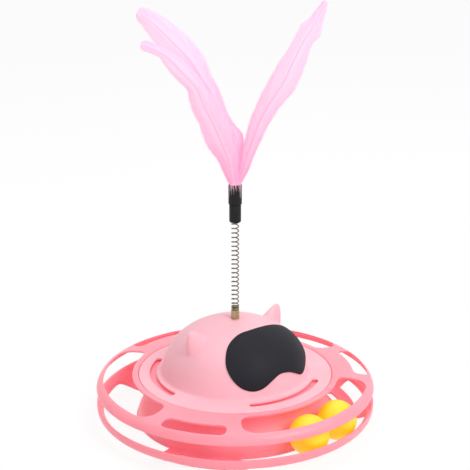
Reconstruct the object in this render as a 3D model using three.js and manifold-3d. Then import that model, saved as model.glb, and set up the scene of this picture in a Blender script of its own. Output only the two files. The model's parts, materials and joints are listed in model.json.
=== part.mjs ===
// Rotating cat toy: a ball track with a cat-eared turntable and a feather wand on a spring.
// Millimetres, +Z up, origin on the ground at the centre of the track.
// Azimuths are counted from +X, anticlockwise seen from above, and -90 is the front.

import * as THREE from 'three';
import { mergeVertices } from 'three/addons/utils/BufferGeometryUtils.js';
import Module from 'manifold-3d';

const wasm = await Module();
wasm.setup();

// Faces round the large rings and up the hub wall
const ringSteps = 48;
const hubSteps = 5;

// Fits shared by every piece
const seat = 0.3;            // gap between two pieces that rest on each other
const runGap = 0.4;          // radial gap between the turntable and the collar round it
const screwGap = 0.35;       // radial gap round a screw or a quill

// Ball track, both mouldings
const rimRadius = 125;       // outside of both rims
const trackWall = 1.8;       // wall of the track mouldings
const lowerRimTop = 18.9;    // top edge of the lower rim
const pawGap = 13.1;         // open height between the two rims
const panelHalf = 20.3;      // half width of the three solid panels, degrees
const panelPhase = -107.5;   // azimuth of the first panel, degrees
const panelCount = 3;
const slotHalf = 14;         // half length of the panel slots, degrees
const windowRound = 12;      // corners of the windows at the rim

// Balls
const ballRadius = 17.3;
const ballGap = 0.6;         // the bowl's curve is this much wider than the ball
const bowlTurns = [24, 20];  // turn of each facet of the bowl, inside and outside, degrees
const ballAzimuths = [-31.4, -52.8];

// Lower track
const rimToPath = 22;        // from the outside of the rim to the middle of the groove
const pathToHub = 14.4;      // from there to the foot of the hub wall
const hubLean = 10.8;        // the hub wall draws in this much on its way up
const hubCurveHeight = 29;   // height of the hub wall's curve
const footHeight = 1.3;      // rubber pads lift the floor this much
const skirtHeight = 4.4;     // upright outside of the lower rim
const skirtEase = [0.6, 2.2]; // the skirt turns in by these steps, inward and down
const skirtTuck = [2.8, 4.5];
const lowerRimBand = 6;      // rim beside the lower windows
const outerSlotInset = 5.5;  // from the outside of the rim to the outer slots
const outerSlotWidth = 9;
const innerSlotInset = 4.9;  // from the foot of the hub wall to the inner slots
const innerSlotWidth = 6;
const innerSlotHalf = 12;    // half length of the inner slots, degrees
const slotRound = 3.5;       // corners of the outer slots
const innerSlotRound = 2.5;
const lowerWindowRound = 4;  // corners of the lower windows at the hub
const shelfTop = 30;         // screw shelf inside the hub
const shelfWidth = 16;
const footRadius = 5;
const footInset = 1.5;       // pads stand this far inside the middle of the groove
const footOffset = 17;       // and this far from the panel centre, degrees
const footPegRadius = 1.6;   // peg of a pad, in a hole in the floor

// Upper track
const collarTop = 43.2;      // collar edge beside the turntable
const turntableOverhang = 9.2; // the turntable reaches this far past the top of the hub wall
const collarBand = 5.3;      // collar between the turntable and the windows
const upperRimBand = 6.3;    // rim beside the upper windows
const upperWindowRound = 8;  // corners of the upper windows at the collar
const upperSlotInset = 4.7;  // from the outside of the rim to the upper slots
const upperSlotWidth = 13.3;
const upperSlotRound = 5;
const deckDrop = 2.6;        // deck lies this far under the collar edge
const bossRadius = 9;        // tube that holds the bush
const bossBottom = 28;
const screwInset = 10.8;     // screws stand this far inside the top of the hub wall
const screwPostRadius = 3.8;
const screwOffset = 38;      // and this far from the panel centre, degrees
const ribThick = 1.6;
const ribHeight = 7;
const ribCount = 6;
const deckSkin = 1.2;        // deck left over a screw's blind hole

// Screws
const screwShank = 1.4;
const screwHead = 3;
const screwHeadHeight = 2;
const driveRadius = 1.5;
const driveDepth = 1.1;
const domeScrewLength = 12;
const axleScrewLength = 11;
const axleScrewHead = 3.6;
const holeSpare = 1.5;       // a screw's hole is this much deeper than the screw

// Bush, axle and its retainer
const bushBore = 4.6;
const bushWall = 1.6;
const bushFlange = 9.5;
const bushFlangeThick = 1.3;
const axleRadius = 4.2;
const axleEndGap = 0.6;      // axle stops this much below the bush
const washerRadius = 7.5;
const washerThick = 1.2;
const plateInset = 4.9;      // from the side of the dome to the plate's edge
const plateThick = 1.8;
const plateBossRadius = 11;
const plateBossDrop = 1.4;
const plateRibHeight = 4;
const plateRibStart = 5;     // ribs start at this radius, inside the boss
const plateRimInset = 1.2;   // upright rim on the plate, from its edge
const plateRimThick = 1.8;
const plateRimHeight = 2.5;

// Turntable dome
const domeWall = 2;
const brimWidth = 17.1;      // from the turntable's edge to the side of the dome
const domeHalfHeight = 63.6; // half height of the dome's ellipse
const domeCentreZ = 31.3;    // height of the ellipse's centre
const brimInnerZ = 44.1;     // top of the brim at the foot of the dome
const brimEdgeRound = 1;
const brimSlotInset = 1;     // from the side of the dome to the brim slots
const brimSlotWidth = 6.3;
const brimSlotHalf = 33;
const brimSlotRound = 3;
const brimSlotCount = 3;
const facePhase = -48;       // azimuth that the ears and the coat patch face
const crownFlat = 6;         // flat round the wand socket
const earAlong = 12.5;       // half width of an ear's root
const earThick = 6.4;        // half thickness of an ear's root
const earReach = 16.5;       // height of an ear above the dome
const earTip = 1.9;
const earInset = 24.9;       // from the side of the dome to the middle of an ear
const earLean = 0.25;        // 0 stands square to the dome, 1 stands upright
const earSink = 3.2;
const domePostRadius = 3.6;
const domePostInset = 15;    // posts stand this far inside the plate's edge

// Coat patch, a thin soft-touch cover on the dome
const patchThick = 0.9;
const patchTilt = 40;        // tilt of the plane that its outline is drawn in, degrees
const patchSteps = 42;
const patchNear = 20;        // the outline is cut through the dome between these two
const patchFar = 140;        // distances from the axis
const patchOutline = [       // across and up in that plane, from the notch, anticlockwise
  [-4, 7], [6, 6], [14, 3.3], [22, 0.6], [29, 2.2], [38.5, 10.5], [49, 22.5], [47.3, 35.5],
  [40, 48.5], [24, 53], [-3, 54], [-17.5, 54], [-30.5, 48.5], [-39, 38], [-43.4, 19],
  [-39, 8.8], [-30.5, 1.2], [-20.5, 2.2], [-12.5, 5.2],
];

// Wand
const socketRadius = 3.45;
const socketRise = 7.4;      // from the top of the dome's ellipse to the socket's shoulder
const studRadius = 2.4;
const studDrop = 13;         // threaded stud reaches this far under the crown
const spigotRadius = 2;
const spigotHeight = 6;
const nutFlats = 5;          // half of the width across the flats
const nutHeight = 4.5;
const wireRadius = 0.42;
const coilRadius = 2.95;     // middle of the wire
const openCoils = 18;
const closedCoils = 2;       // close coils at each end
const closedPitch = 1.5;
const springHeight = 88.2;   // from the socket's shoulder to the last turn of the wire
const coilSteps = 8;
const wireSides = 5;
const ferruleOverlap = 7.1;  // the lower ferrule reaches this far down the spring
const lowerFerruleLength = 15.6;
const upperFerruleLength = 18;
const lowerFerruleRadius = 5.15;
const upperFerruleRadius = 5.85;
const springPocket = 3.8;    // bore of the lower ferrule
const ferruleSpigot = 3.3;
const ferruleSpigotDrop = 6;
const quillPocket = 4.35;
const quillPocketDepth = 11;

// Feathers: spine points, with heights counted from the top of the upper ferrule,
// half widths along the spine and half thickness
const quillRadius = 0.85;
const featherThick = 1.3;
const featherRings = 14;
const feathers = [
  {
    name: 'feather_left_upper',
    spine: [[-1.5, 2.5, -10], [-1.6, 2.5, -4], [-1.9, 2.7, 3], [-4, 3.4, 21],
      [-8.5, 5, 45], [-18, 7, 73], [-33, 9, 101], [-53, 11, 126], [-80, 12, 147]],
    half: [0.85, 0.85, 0.85, 8, 10.5, 12, 13, 11, 1.5],
  },
  {
    name: 'feather_left_lower',
    spine: [[-1.5, -2.5, -10], [-1.6, -2.5, -4], [-2.1, -2.8, 3], [-7.5, -4, 21],
      [-15.5, -5.5, 41], [-25, -7, 63], [-39, -8.5, 83], [-57, -9.5, 101],
      [-79, -10, 117.5]],
    half: [0.85, 0.85, 0.85, 7.5, 10, 10.5, 11, 9, 1.5],
  },
  {
    name: 'feather_right',
    spine: [[2.6, 0, -10], [2.6, 0, -4], [2.8, 0, 3], [6.5, -0.4, 23],
      [16.5, -1.5, 48], [28, -3, 71], [41, -5, 95], [56, -7.5, 124], [75, -10, 154]],
    half: [0.85, 0.85, 0.85, 8, 9.5, 11, 12, 11, 1.5],
  },
];

// Values worked out from the ones above
const pathRadius = rimRadius - rimToPath;
const hubBaseRadius = pathRadius - pathToHub;
const hubTopRadius = hubBaseRadius - hubLean;
const turntableRadius = hubTopRadius + turntableOverhang;
const collarInner = turntableRadius + runGap;
const windowIn = collarInner + collarBand;
const windowOut = rimRadius - upperRimBand;
const upperSlotOut = rimRadius - upperSlotInset;
const outerSlotOut = rimRadius - outerSlotInset;
const innerSlotIn = hubBaseRadius + innerSlotInset;
const screwPathRadius = hubTopRadius - screwInset;
const footPathRadius = pathRadius - footInset;
const windowPhase = 180 / panelCount;
const upperRimBottom = lowerRimTop + pawGap;
const deckTop = collarTop - deckDrop;
const deckBottom = deckTop - trackWall;
const floorTop = footHeight + trackWall;
const ballZ = floorTop + seat + ballRadius;
const bowlZ = floorTop + ballRadius + ballGap;
const domeRadius = turntableRadius - brimWidth;
const brimSlotIn = domeRadius + brimSlotInset;
const brimBottomEdge = collarTop - trackWall;
const earRootRadius = domeRadius - earInset;
const plateRadius = domeRadius - plateInset;
const domePostPath = plateRadius - domePostInset;
const crownZ = domeHeight(crownFlat) - 0.8;
const socketTop = domeCentreZ + domeHalfHeight + socketRise;
const springTop = socketTop + springHeight;
const ferruleBottom = springTop - ferruleOverlap;
const ferruleSplit = ferruleBottom + lowerFerruleLength; // the upper ferrule starts here
const ferruleTop = ferruleSplit + upperFerruleLength;
const bushOuter = bushBore + bushWall;
const bossBore = bushOuter + seat;
const bushFlangeTop = deckTop + seat + bushFlangeThick;
const plateBottom = bushFlangeTop + seat + plateBossDrop;
const plateTop = plateBottom + plateThick;
const axleBottom = bossBottom - axleEndGap;
const ceiling = crownZ - domeWall - 1;

// Small helpers

function radians(degrees) {
  return THREE.MathUtils.degToRad(degrees);
}

function turnSteps(radius) {
  return Math.min(ringSteps, Math.max(12, 4 * Math.round(radius / 4)));
}

function polar(radius, azimuth, z = 0) {
  return new THREE.Vector3(
    radius * Math.cos(radians(azimuth)), radius * Math.sin(radians(azimuth)), z);
}

function domeHeight(radius) {
  const share = radius / domeRadius;
  return domeCentreZ + domeHalfHeight * Math.sqrt(1 - share * share);
}

function panelAzimuths(offset = 0) {
  return Array.from({ length: panelCount },
    (_, k) => panelPhase + offset + (360 / panelCount) * k);
}

// A closed body as merged triangles, without the flat ones that a pole leaves behind
function merged(geometry) {
  const bare = geometry.clone();
  for (const name of Object.keys(bare.attributes)) {
    if (name !== 'position') bare.deleteAttribute(name);
  }
  const joined = mergeVertices(bare, 1e-4);
  const kept = [];
  const index = joined.index.array;
  for (let k = 0; k < index.length; k += 3) {
    const [a, b, c] = [index[k], index[k + 1], index[k + 2]];
    if (a !== b && b !== c && c !== a) kept.push(a, b, c);
  }
  joined.setIndex(kept);
  return joined;
}

function solid(geometry) {
  const body = merged(geometry);
  return new wasm.Manifold(new wasm.Mesh({
    numProp: 3,
    vertProperties: new Float32Array(body.attributes.position.array),
    triVerts: new Uint32Array(body.index.array),
  }));
}

function fromSolid(manifold) {
  const mesh = manifold.getMesh();
  const geometry = new THREE.BufferGeometry();
  geometry.setAttribute('position', new THREE.BufferAttribute(mesh.vertProperties, 3));
  geometry.setIndex(new THREE.BufferAttribute(mesh.triVerts, 1));
  return geometry;
}

function joinAll(manifolds) {
  return manifolds.reduce((sum, one) => sum.add(one));
}

function cutAll(body, tools) {
  return tools.reduce((rest, tool) => rest.subtract(tool), body);
}

// Revolves a closed outline of [radius, height] points round Z
function revolve(outline, steps = 48) {
  const area = outline.reduce((sum, [r, z], k) => {
    const [r2, z2] = outline[(k + 1) % outline.length];
    return sum + r * z2 - r2 * z;
  }, 0);
  const ordered = area > 0 ? outline : [...outline].reverse();
  const points = [...ordered, ordered[0]].map(([r, z]) => new THREE.Vector2(r, z));
  return new THREE.LatheGeometry(points, steps).rotateX(Math.PI / 2);
}

function drum(radius, bottom, top, steps = turnSteps(radius)) {
  return revolve([[0, bottom], [radius, bottom], [radius, top], [0, top]], steps);
}

function tube(inner, outer, bottom, top, steps = turnSteps(outer)) {
  return revolve([[inner, bottom], [outer, bottom], [outer, top], [inner, top]], steps);
}

// The same line of points moved sideways by a wall's thickness
function offsetLine(points, distance) {
  return points.map(([r, z], k) => {
    const before = points[Math.max(0, k - 1)];
    const after = points[Math.min(points.length - 1, k + 1)];
    const run = new THREE.Vector2(after[0] - before[0], after[1] - before[1]).normalize();
    return [r - run.y * distance, z + run.x * distance];
  });
}

function smoothLine(points, count) {
  return new THREE.SplineCurve(points.map(([r, z]) => new THREE.Vector2(r, z)))
    .getPoints(count).map((p) => [p.x, p.y]);
}

// A ring sector with rounded corners, as a block from bottom to top
function sectorBlock(inner, outer, azimuth, half, filletIn, filletOut, bottom, top) {
  const outline = [];
  const arc = (radius, from, to, steps) => {
    for (let k = 0; k <= steps; k += 1) {
      outline.push(polar(radius, azimuth + from + ((to - from) * k) / steps));
    }
  };
  const corner = (radius, fillet, side, outward) => {
    const steps = Math.max(3, Math.round(fillet / 3));
    const centre = radius - outward * fillet;
    const swing = THREE.MathUtils.radToDeg(fillet / centre);
    for (let k = 1; k < steps; k += 1) {
      const turn = (Math.PI / 2) * (outward * side > 0 ? k / steps : 1 - k / steps);
      outline.push(polar(centre + outward * fillet * Math.cos(turn),
        azimuth + side * (half - swing + swing * Math.sin(turn))));
    }
  };
  const trimOut = THREE.MathUtils.radToDeg(filletOut / (outer - filletOut));
  const trimIn = THREE.MathUtils.radToDeg(filletIn / (inner + filletIn));
  const steps = Math.max(2, Math.round(half / 6));
  arc(outer, -(half - trimOut), half - trimOut, steps);
  corner(outer, filletOut, 1, 1);
  outline.push(polar(outer - filletOut, azimuth + half), polar(inner + filletIn, azimuth + half));
  corner(inner, filletIn, 1, -1);
  arc(inner, half - trimIn, -(half - trimIn), steps);
  corner(inner, filletIn, -1, -1);
  outline.push(polar(inner + filletIn, azimuth - half), polar(outer - filletOut, azimuth - half));
  corner(outer, filletOut, -1, 1);
  const shape = new THREE.Shape(outline.map((p) => new THREE.Vector2(p.x, p.y)));
  return new THREE.ExtrudeGeometry(shape, { depth: top - bottom, bevelEnabled: false })
    .translate(0, 0, bottom);
}

// Joins rings of points, all of one count, into a closed skin with flat ends
function loft(rings) {
  const sides = rings[0].length;
  const positions = rings.flat().flatMap((p) => [p.x, p.y, p.z]);
  const index = [];
  for (let k = 0; k < rings.length - 1; k += 1) {
    for (let s = 0; s < sides; s += 1) {
      const [a, b] = [k * sides + s, k * sides + ((s + 1) % sides)];
      index.push(a, b, a + sides, b, b + sides, a + sides);
    }
  }
  const last = (rings.length - 1) * sides;
  for (let s = 1; s < sides - 1; s += 1) {
    index.push(0, s + 1, s, last, last + s, last + s + 1);
  }
  const geometry = new THREE.BufferGeometry();
  geometry.setAttribute('position', new THREE.Float32BufferAttribute(positions, 3));
  geometry.setIndex(index);
  return geometry;
}

// Materials

function plastic(color, roughness = 0.45) {
  return new THREE.MeshStandardMaterial({ color, roughness, metalness: 0 });
}

function metal(color, roughness = 0.3) {
  return new THREE.MeshStandardMaterial({ color, roughness, metalness: 1 });
}

const trackPink = plastic(0xff8f9f, 0.32);
const domePink = plastic(0xffbdc8, 0.55);
const ballYellow = plastic(0xfdcd2d, 0.4);
const softCharcoal = plastic(0x323237, 0.8);
const nylonWhite = plastic(0xf1efe8, 0.5);
const rubberGrey = plastic(0x8a8688, 0.9);
const blackRubber = plastic(0x242426, 0.7);
const featherPink = plastic(0xffc9e2, 0.95);
const brass = metal(0xb4966e, 0.35);
const steel = metal(0xb9b6b0, 0.28);

const model = new THREE.Group();

function place(name, geometry, material, parent = model) {
  const mesh = new THREE.Mesh(geometry, material);
  mesh.name = name;
  parent.add(mesh);
  return mesh;
}

// Lower track: rim, bowl, floor and hub wall. The bowl's facets touch its true curve
// with their middles, so that the ball keeps its clearance.

function lowerTrack() {
  const bowlLine = (radius, steps, swing) => Array.from({ length: steps + 1 }, (_, k) => {
    const reach = k ? radius / Math.cos(radians(swing / 2)) : radius;
    const turn = radians(swing * (steps - Math.max(k - 0.5, 0)) - 90);
    return [pathRadius + reach * Math.cos(turn), bowlZ + reach * Math.sin(turn)];
  });
  const bowl = bowlLine(ballRadius + ballGap, 3, bowlTurns[0]);
  const hub = Array.from({ length: hubSteps + 1 }, (_, k) => [
    hubTopRadius + (hubLean * (1 + Math.cos((Math.PI * k) / hubSteps))) / 2,
    floorTop + (hubCurveHeight * k) / hubSteps,
  ]);
  const top = [[hubTopRadius, deckBottom - seat]];
  const inside = [[rimRadius - trackWall, lowerRimTop], ...bowl, ...hub, ...top];
  const hubBack = offsetLine([...hub, ...top], trackWall);
  hubBack[0] = [hubBaseRadius - trackWall, footHeight];
  hubBack[hubBack.length - 1] = [hubTopRadius - trackWall, deckBottom - seat];
  const outside = [
    [rimRadius, lowerRimTop], [rimRadius, lowerRimTop - skirtHeight],
    [rimRadius - skirtEase[0], lowerRimTop - skirtHeight - skirtEase[1]],
    [rimRadius - skirtTuck[0], lowerRimTop - skirtHeight - skirtTuck[1]],
    ...bowlLine(ballRadius + ballGap + trackWall, 2, bowlTurns[1]), ...hubBack,
  ];
  const sheet = solid(revolve([...inside, ...outside.reverse()], ringSteps));
  const shelf = solid(tube(hubTopRadius - trackWall - shelfWidth,
    hubTopRadius - trackWall / 2, shelfTop - trackWall, shelfTop, ringSteps));
  const tools = [];
  for (const azimuth of panelAzimuths(windowPhase)) {
    tools.push(solid(sectorBlock(hubBaseRadius + 0.8, rimRadius - lowerRimBand, azimuth,
      windowPhase - panelHalf, lowerWindowRound, windowRound, -1, ballZ + 2)));
  }
  for (const azimuth of panelAzimuths()) {
    tools.push(solid(sectorBlock(outerSlotOut - outerSlotWidth, outerSlotOut, azimuth,
      slotHalf, slotRound, slotRound, -1, ballZ + 2)));
    tools.push(solid(sectorBlock(innerSlotIn, innerSlotIn + innerSlotWidth, azimuth,
      innerSlotHalf, innerSlotRound, innerSlotRound, -1, ballZ)));
  }
  for (const azimuth of panelAzimuths(footOffset)) {
    const at = polar(footPathRadius, azimuth);
    tools.push(solid(drum(footPegRadius + seat, -1, ballZ, 12).translate(at.x, at.y, 0)));
  }
  for (const azimuth of panelAzimuths(screwOffset)) {
    const at = polar(screwPathRadius, azimuth);
    tools.push(solid(drum(screwShank + screwGap, 0, deckTop, 16).translate(at.x, at.y, 0)));
  }
  return fromSolid(cutAll(sheet.add(shelf), tools));
}

// Upper track: collar, pierced cover, rolled rim and the deck under the turntable

function upperTrack() {
  const top = smoothLine([
    [collarInner + 2.6, collarTop + 0.4], [windowIn + 2, collarTop + 0.1],
    [(windowIn + windowOut) / 2, collarTop - 1.1], [windowOut - 5, collarTop - 2.1],
    [windowOut, collarTop - 2.9], [rimRadius - 3.4, collarTop - 4.4],
    [rimRadius - 1.3, collarTop - 6.9], [rimRadius - 0.3, upperRimBottom + 1.8],
    [rimRadius, upperRimBottom],
  ], 9);
  const face = [[collarInner, collarTop], [collarInner + 0.9, collarTop + 0.35], ...top];
  const back = offsetLine(face, -trackWall).reverse();
  back[0] = [rimRadius - trackWall, upperRimBottom];
  const under = [[collarInner + trackWall, back[back.length - 2][1]],
    [collarInner + trackWall, deckBottom]];
  const ring = [...face, ...back.slice(0, -2), ...under];
  const deck = [[bossBore, deckBottom], [bossBore, deckTop], [collarInner, deckTop]];
  const parts = [solid(revolve([...ring, ...deck], ringSteps))];
  parts.push(solid(tube(bossBore, bossRadius, bossBottom, deckTop - 0.5, 28)));
  const ribLength = screwPathRadius - bossRadius + 1;
  for (let k = 0; k < ribCount; k += 1) {
    const azimuth = panelPhase + screwOffset + (360 / ribCount) * k;
    parts.push(solid(new THREE.BoxGeometry(ribLength, ribThick, ribHeight + 0.5)
      .translate(bossRadius - 0.5 + ribLength / 2, 0, deckBottom - (ribHeight - 0.5) / 2)
      .rotateZ(radians(azimuth))));
  }
  for (const azimuth of panelAzimuths(screwOffset)) {
    const at = polar(screwPathRadius, azimuth);
    parts.push(solid(drum(screwPostRadius, shelfTop + seat, deckTop - 0.5, 16)
      .translate(at.x, at.y, 0)));
  }
  const tools = [];
  for (const azimuth of panelAzimuths(windowPhase)) {
    tools.push(solid(sectorBlock(windowIn, windowOut, azimuth, windowPhase - panelHalf,
      upperWindowRound, windowRound, upperRimBottom - 2, collarTop + 5)));
  }
  for (const azimuth of panelAzimuths()) {
    tools.push(solid(sectorBlock(upperSlotOut - upperSlotWidth, upperSlotOut, azimuth,
      slotHalf, upperSlotRound, upperSlotRound, upperRimBottom - 2, collarTop + 5)));
  }
  for (const azimuth of panelAzimuths(screwOffset)) {
    const at = polar(screwPathRadius, azimuth);
    tools.push(solid(drum(screwShank + screwGap, 0, deckTop - deckSkin, 16)
      .translate(at.x, at.y, 0)));
  }
  return fromSolid(cutAll(joinAll(parts), tools));
}

// A pan head screw that points up, its head's upper face at z = 0
function screw(length, head = screwHead) {
  const shank = screwShank;
  const body = solid(revolve([
    [0, -screwHeadHeight], [head * 0.7, -screwHeadHeight], [head, -screwHeadHeight * 0.55],
    [head, 0], [shank, 0], [shank, length], [0, length],
  ], 12));
  const drive = drum(driveRadius, -screwHeadHeight - 1, driveDepth - screwHeadHeight, 6);
  return fromSolid(body.subtract(solid(drive)));
}

function bush() {
  const [inner, outer] = [bushBore, bushOuter];
  const flangeBottom = deckTop + seat;
  return revolve([
    [inner, bossBottom], [outer, bossBottom], [outer, flangeBottom],
    [bushFlange, flangeBottom], [bushFlange, bushFlangeTop], [inner, bushFlangeTop],
  ], 24);
}

// Turntable plate: closes the dome from below and carries the axle

function turntablePlate() {
  const body = [solid(revolve([
    [0, axleBottom], [axleRadius, axleBottom], [axleRadius, bushFlangeTop + seat],
    [plateBossRadius, bushFlangeTop + seat], [plateBossRadius, plateBottom],
    [plateRadius, plateBottom], [plateRadius, plateTop], [0, plateTop],
  ], 32))];
  const ribRun = domePostPath - plateBossRadius;
  for (let k = 0; k < ribCount; k += 1) {
    body.push(solid(new THREE.BoxGeometry(ribRun, ribThick, plateRibHeight + 0.5)
      .translate(plateRibStart + ribRun / 2, 0, plateTop + plateRibHeight / 2 - 0.25)
      .rotateZ(radians(facePhase + 30 + 60 * k))));
  }
  const rimOuter = plateRadius - plateRimInset;
  body.push(solid(tube(rimOuter - plateRimThick, rimOuter, plateBottom,
    plateTop + plateRimHeight, 32)));
  const tools = [solid(drum(screwShank + screwGap, axleBottom - 1,
    axleBottom + axleScrewLength + holeSpare, 16))];
  for (let k = 0; k < 3; k += 1) {
    const at = polar(domePostPath, facePhase + 60 + 120 * k);
    tools.push(solid(drum(screwShank + screwGap, plateBottom - 1, plateTop + 1, 16)
      .translate(at.x, at.y, 0)));
  }
  return fromSolid(cutAll(joinAll(body), tools));
}

function footRadiusAt(z, inset = 0) {
  const share = (z - domeCentreZ) / (domeHalfHeight - inset);
  return (domeRadius - inset) * Math.sqrt(1 - share * share);
}

// Dome outline as [radius, height] points from the foot almost to the crown
function domeLine(inset, fromRadius, steps) {
  const start = Math.acos(fromRadius / (domeRadius - inset));
  const end = Math.acos((crownFlat + 4) / (domeRadius - inset));
  return Array.from({ length: steps }, (_, k) => {
    const angle = start + ((end - start) * k) / (steps - 1);
    return [(domeRadius - inset) * Math.cos(angle),
      domeCentreZ + (domeHalfHeight - inset) * Math.sin(angle)];
  });
}

function ear(side) {
  const outline = [[0, 0]];
  const rootRadius = (earAlong * (earReach + earSink)) / earReach;
  const height = earReach + earSink;
  outline.push([rootRadius, 0]);
  for (let k = 0; k <= 3; k += 1) {
    const angle = (Math.PI / 2) * (0.3 + (0.7 * k) / 3);
    outline.push([earTip * Math.cos(angle), height - earTip * (1 - Math.sin(angle))]);
  }
  outline[outline.length - 1][0] = 0;
  const azimuth = facePhase + side * 90;
  const root = polar(earRootRadius, azimuth, domeHeight(earRootRadius));
  const normal = new THREE.Vector3(root.x / domeRadius ** 2, root.y / domeRadius ** 2,
    (root.z - domeCentreZ) / domeHalfHeight ** 2).normalize();
  const axis = normal.clone().lerp(new THREE.Vector3(0, 0, 1), earLean).normalize();
  const across = polar(1, azimuth + 90);
  const along = new THREE.Vector3().crossVectors(across, axis).normalize();
  const frame = new THREE.Matrix4().makeBasis(along, new THREE.Vector3()
    .crossVectors(axis, along), axis);
  return revolve(outline, 18).scale(1, earThick / earAlong, 1).translate(0, 0, -earSink)
    .applyMatrix4(frame).translate(root.x, root.y, root.z);
}

function dome() {
  const foot = footRadiusAt(brimInnerZ + 0.3);
  const outside = [
    [0, brimInnerZ - domeWall], [brimSlotIn, brimInnerZ - domeWall],
    [turntableRadius - brimEdgeRound, brimBottomEdge], [turntableRadius, brimBottomEdge + 0.5],
    [turntableRadius, collarTop - 0.5], [turntableRadius - brimEdgeRound, collarTop],
    [brimSlotIn + brimSlotWidth + 1, brimInnerZ - 0.2], [brimSlotIn - 0.2, brimInnerZ],
    [foot + 1.2, brimInnerZ + 0.5], ...domeLine(0, foot, 9), [crownFlat, crownZ], [0, crownZ],
  ];
  const hollowFoot = plateRadius + 1.2;
  const hollow = [[0, brimBottomEdge - 1], [hollowFoot, brimBottomEdge - 1],
    ...domeLine(domeWall, hollowFoot, 6), [crownFlat, ceiling], [0, ceiling]];
  const cavity = solid(revolve(hollow, ringSteps));
  let body = solid(revolve(outside, ringSteps)).add(solid(ear(1))).add(solid(ear(-1)))
    .subtract(cavity);
  for (let k = 0; k < 3; k += 1) {
    const at = polar(domePostPath, facePhase + 60 + 120 * k);
    body = body.add(solid(drum(domePostRadius, plateTop + seat,
      domeHeight(domePostPath + domePostRadius) - 0.6, 16).translate(at.x, at.y, 0)));
    body = body.subtract(solid(drum(screwShank + screwGap, plateTop - 1,
      plateBottom + domeScrewLength + holeSpare, 16).translate(at.x, at.y, 0)));
  }
  const tools = [solid(drum(studRadius + seat, brimBottomEdge, crownZ + 9, 20))];
  for (let k = 0; k < brimSlotCount; k += 1) {
    tools.push(solid(sectorBlock(brimSlotIn, brimSlotIn + brimSlotWidth,
      facePhase + (360 / brimSlotCount) * k, brimSlotHalf, brimSlotRound, brimSlotRound,
      brimBottomEdge - 2, brimInnerZ + 5)));
  }
  return fromSolid(cutAll(body, tools));
}

// Coat patch: a slice of a shell that lies on the dome, inside a drawn outline

function coatPatch() {
  const loop = patchOutline.map(([across, rise]) => new THREE.Vector3(across, rise, 0));
  const outline = new THREE.CatmullRomCurve3(loop, true).getPoints(patchSteps).slice(0, -1)
    .map((p) => new THREE.Vector2(p.x, p.y));
  const forward = polar(Math.cos(radians(patchTilt)), facePhase, Math.sin(radians(patchTilt)));
  const side = polar(1, facePhase + 90);
  const up = new THREE.Vector3().crossVectors(forward, side);
  const prism = new THREE.ExtrudeGeometry(new THREE.Shape(outline),
    { depth: patchFar - patchNear, bevelEnabled: false }).translate(0, 0, patchNear)
    .applyMatrix4(new THREE.Matrix4().makeBasis(side, up, forward));
  const layer = (inset) => domeLine(inset, footRadiusAt(brimInnerZ + 1, inset), 8);
  const shell = solid(revolve([...layer(-seat - patchThick), ...layer(-seat).reverse()],
    ringSteps));
  return fromSolid(shell.intersect(solid(prism)));
}

// Brass socket: shoulder above the crown, threaded stud below it, spigot for the spring

function wandSocket() {
  return revolve([
    [0, crownZ - studDrop], [studRadius - 0.4, crownZ - studDrop],
    [studRadius, crownZ - studDrop + 0.5], [studRadius, crownZ + seat],
    [socketRadius, crownZ + seat], [socketRadius, socketTop - 0.5],
    [socketRadius - 0.5, socketTop], [spigotRadius, socketTop],
    [spigotRadius, socketTop + spigotHeight - 0.5],
    [spigotRadius - 0.5, socketTop + spigotHeight], [0, socketTop + spigotHeight],
  ], 16);
}

function wandNut() {
  const top = ceiling - seat;
  const hex = drum(nutFlats / Math.cos(Math.PI / 6), top - nutHeight, top, 6);
  return fromSolid(solid(hex).subtract(solid(drum(studRadius + screwGap,
    top - nutHeight - 1, top + 1, 16))));
}

// Spring: one unbroken wire, close coils at both ends

function springLine() {
  const bottom = socketTop + seat + wireRadius;
  const closed = closedCoils * closedPitch;
  const openPitch = (springTop - bottom - 2 * closed) / openCoils;
  const turns = openCoils + 2 * closedCoils;
  const points = [];
  for (let k = 0; k <= turns * coilSteps; k += 1) {
    const turn = k / coilSteps;
    const low = Math.min(turn, closedCoils);
    const middle = Math.min(Math.max(turn - closedCoils, 0), openCoils);
    const high = Math.max(turn - closedCoils - openCoils, 0);
    const z = bottom + (low + high) * closedPitch + middle * openPitch;
    const angle = 2 * Math.PI * turn;
    points.push(new THREE.Vector3(coilRadius * Math.cos(angle), coilRadius * Math.sin(angle), z));
  }
  return points;
}

function spring() {
  const line = springLine();
  const rings = line.map((point, k) => {
    const ahead = line[Math.min(k + 1, line.length - 1)];
    const behind = line[Math.max(k - 1, 0)];
    const run = ahead.clone().sub(behind).normalize();
    const outward = new THREE.Vector3(point.x, point.y, 0).normalize();
    const across = new THREE.Vector3().crossVectors(run, outward).normalize();
    return Array.from({ length: wireSides }, (_, s) => {
      const angle = (2 * Math.PI * s) / wireSides;
      return point.clone().addScaledVector(outward, wireRadius * Math.cos(angle))
        .addScaledVector(across, wireRadius * Math.sin(angle));
    });
  });
  return loft(rings);
}

function leastSpringGap() {
  const line = springLine();
  let least = Infinity;
  for (let a = 0; a < line.length; a += 1) {
    for (let b = a + coilSteps - 2; b < line.length; b += 1) {
      least = Math.min(least, line[a].distanceTo(line[b]) - 2 * wireRadius);
    }
  }
  return least;
}

function lowerFerrule() {
  return revolve([
    [springPocket, ferruleBottom], [lowerFerruleRadius - 0.7, ferruleBottom],
    [lowerFerruleRadius, ferruleBottom + 1.2], [lowerFerruleRadius, ferruleSplit],
    [springPocket, ferruleSplit],
  ], 20);
}

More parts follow.
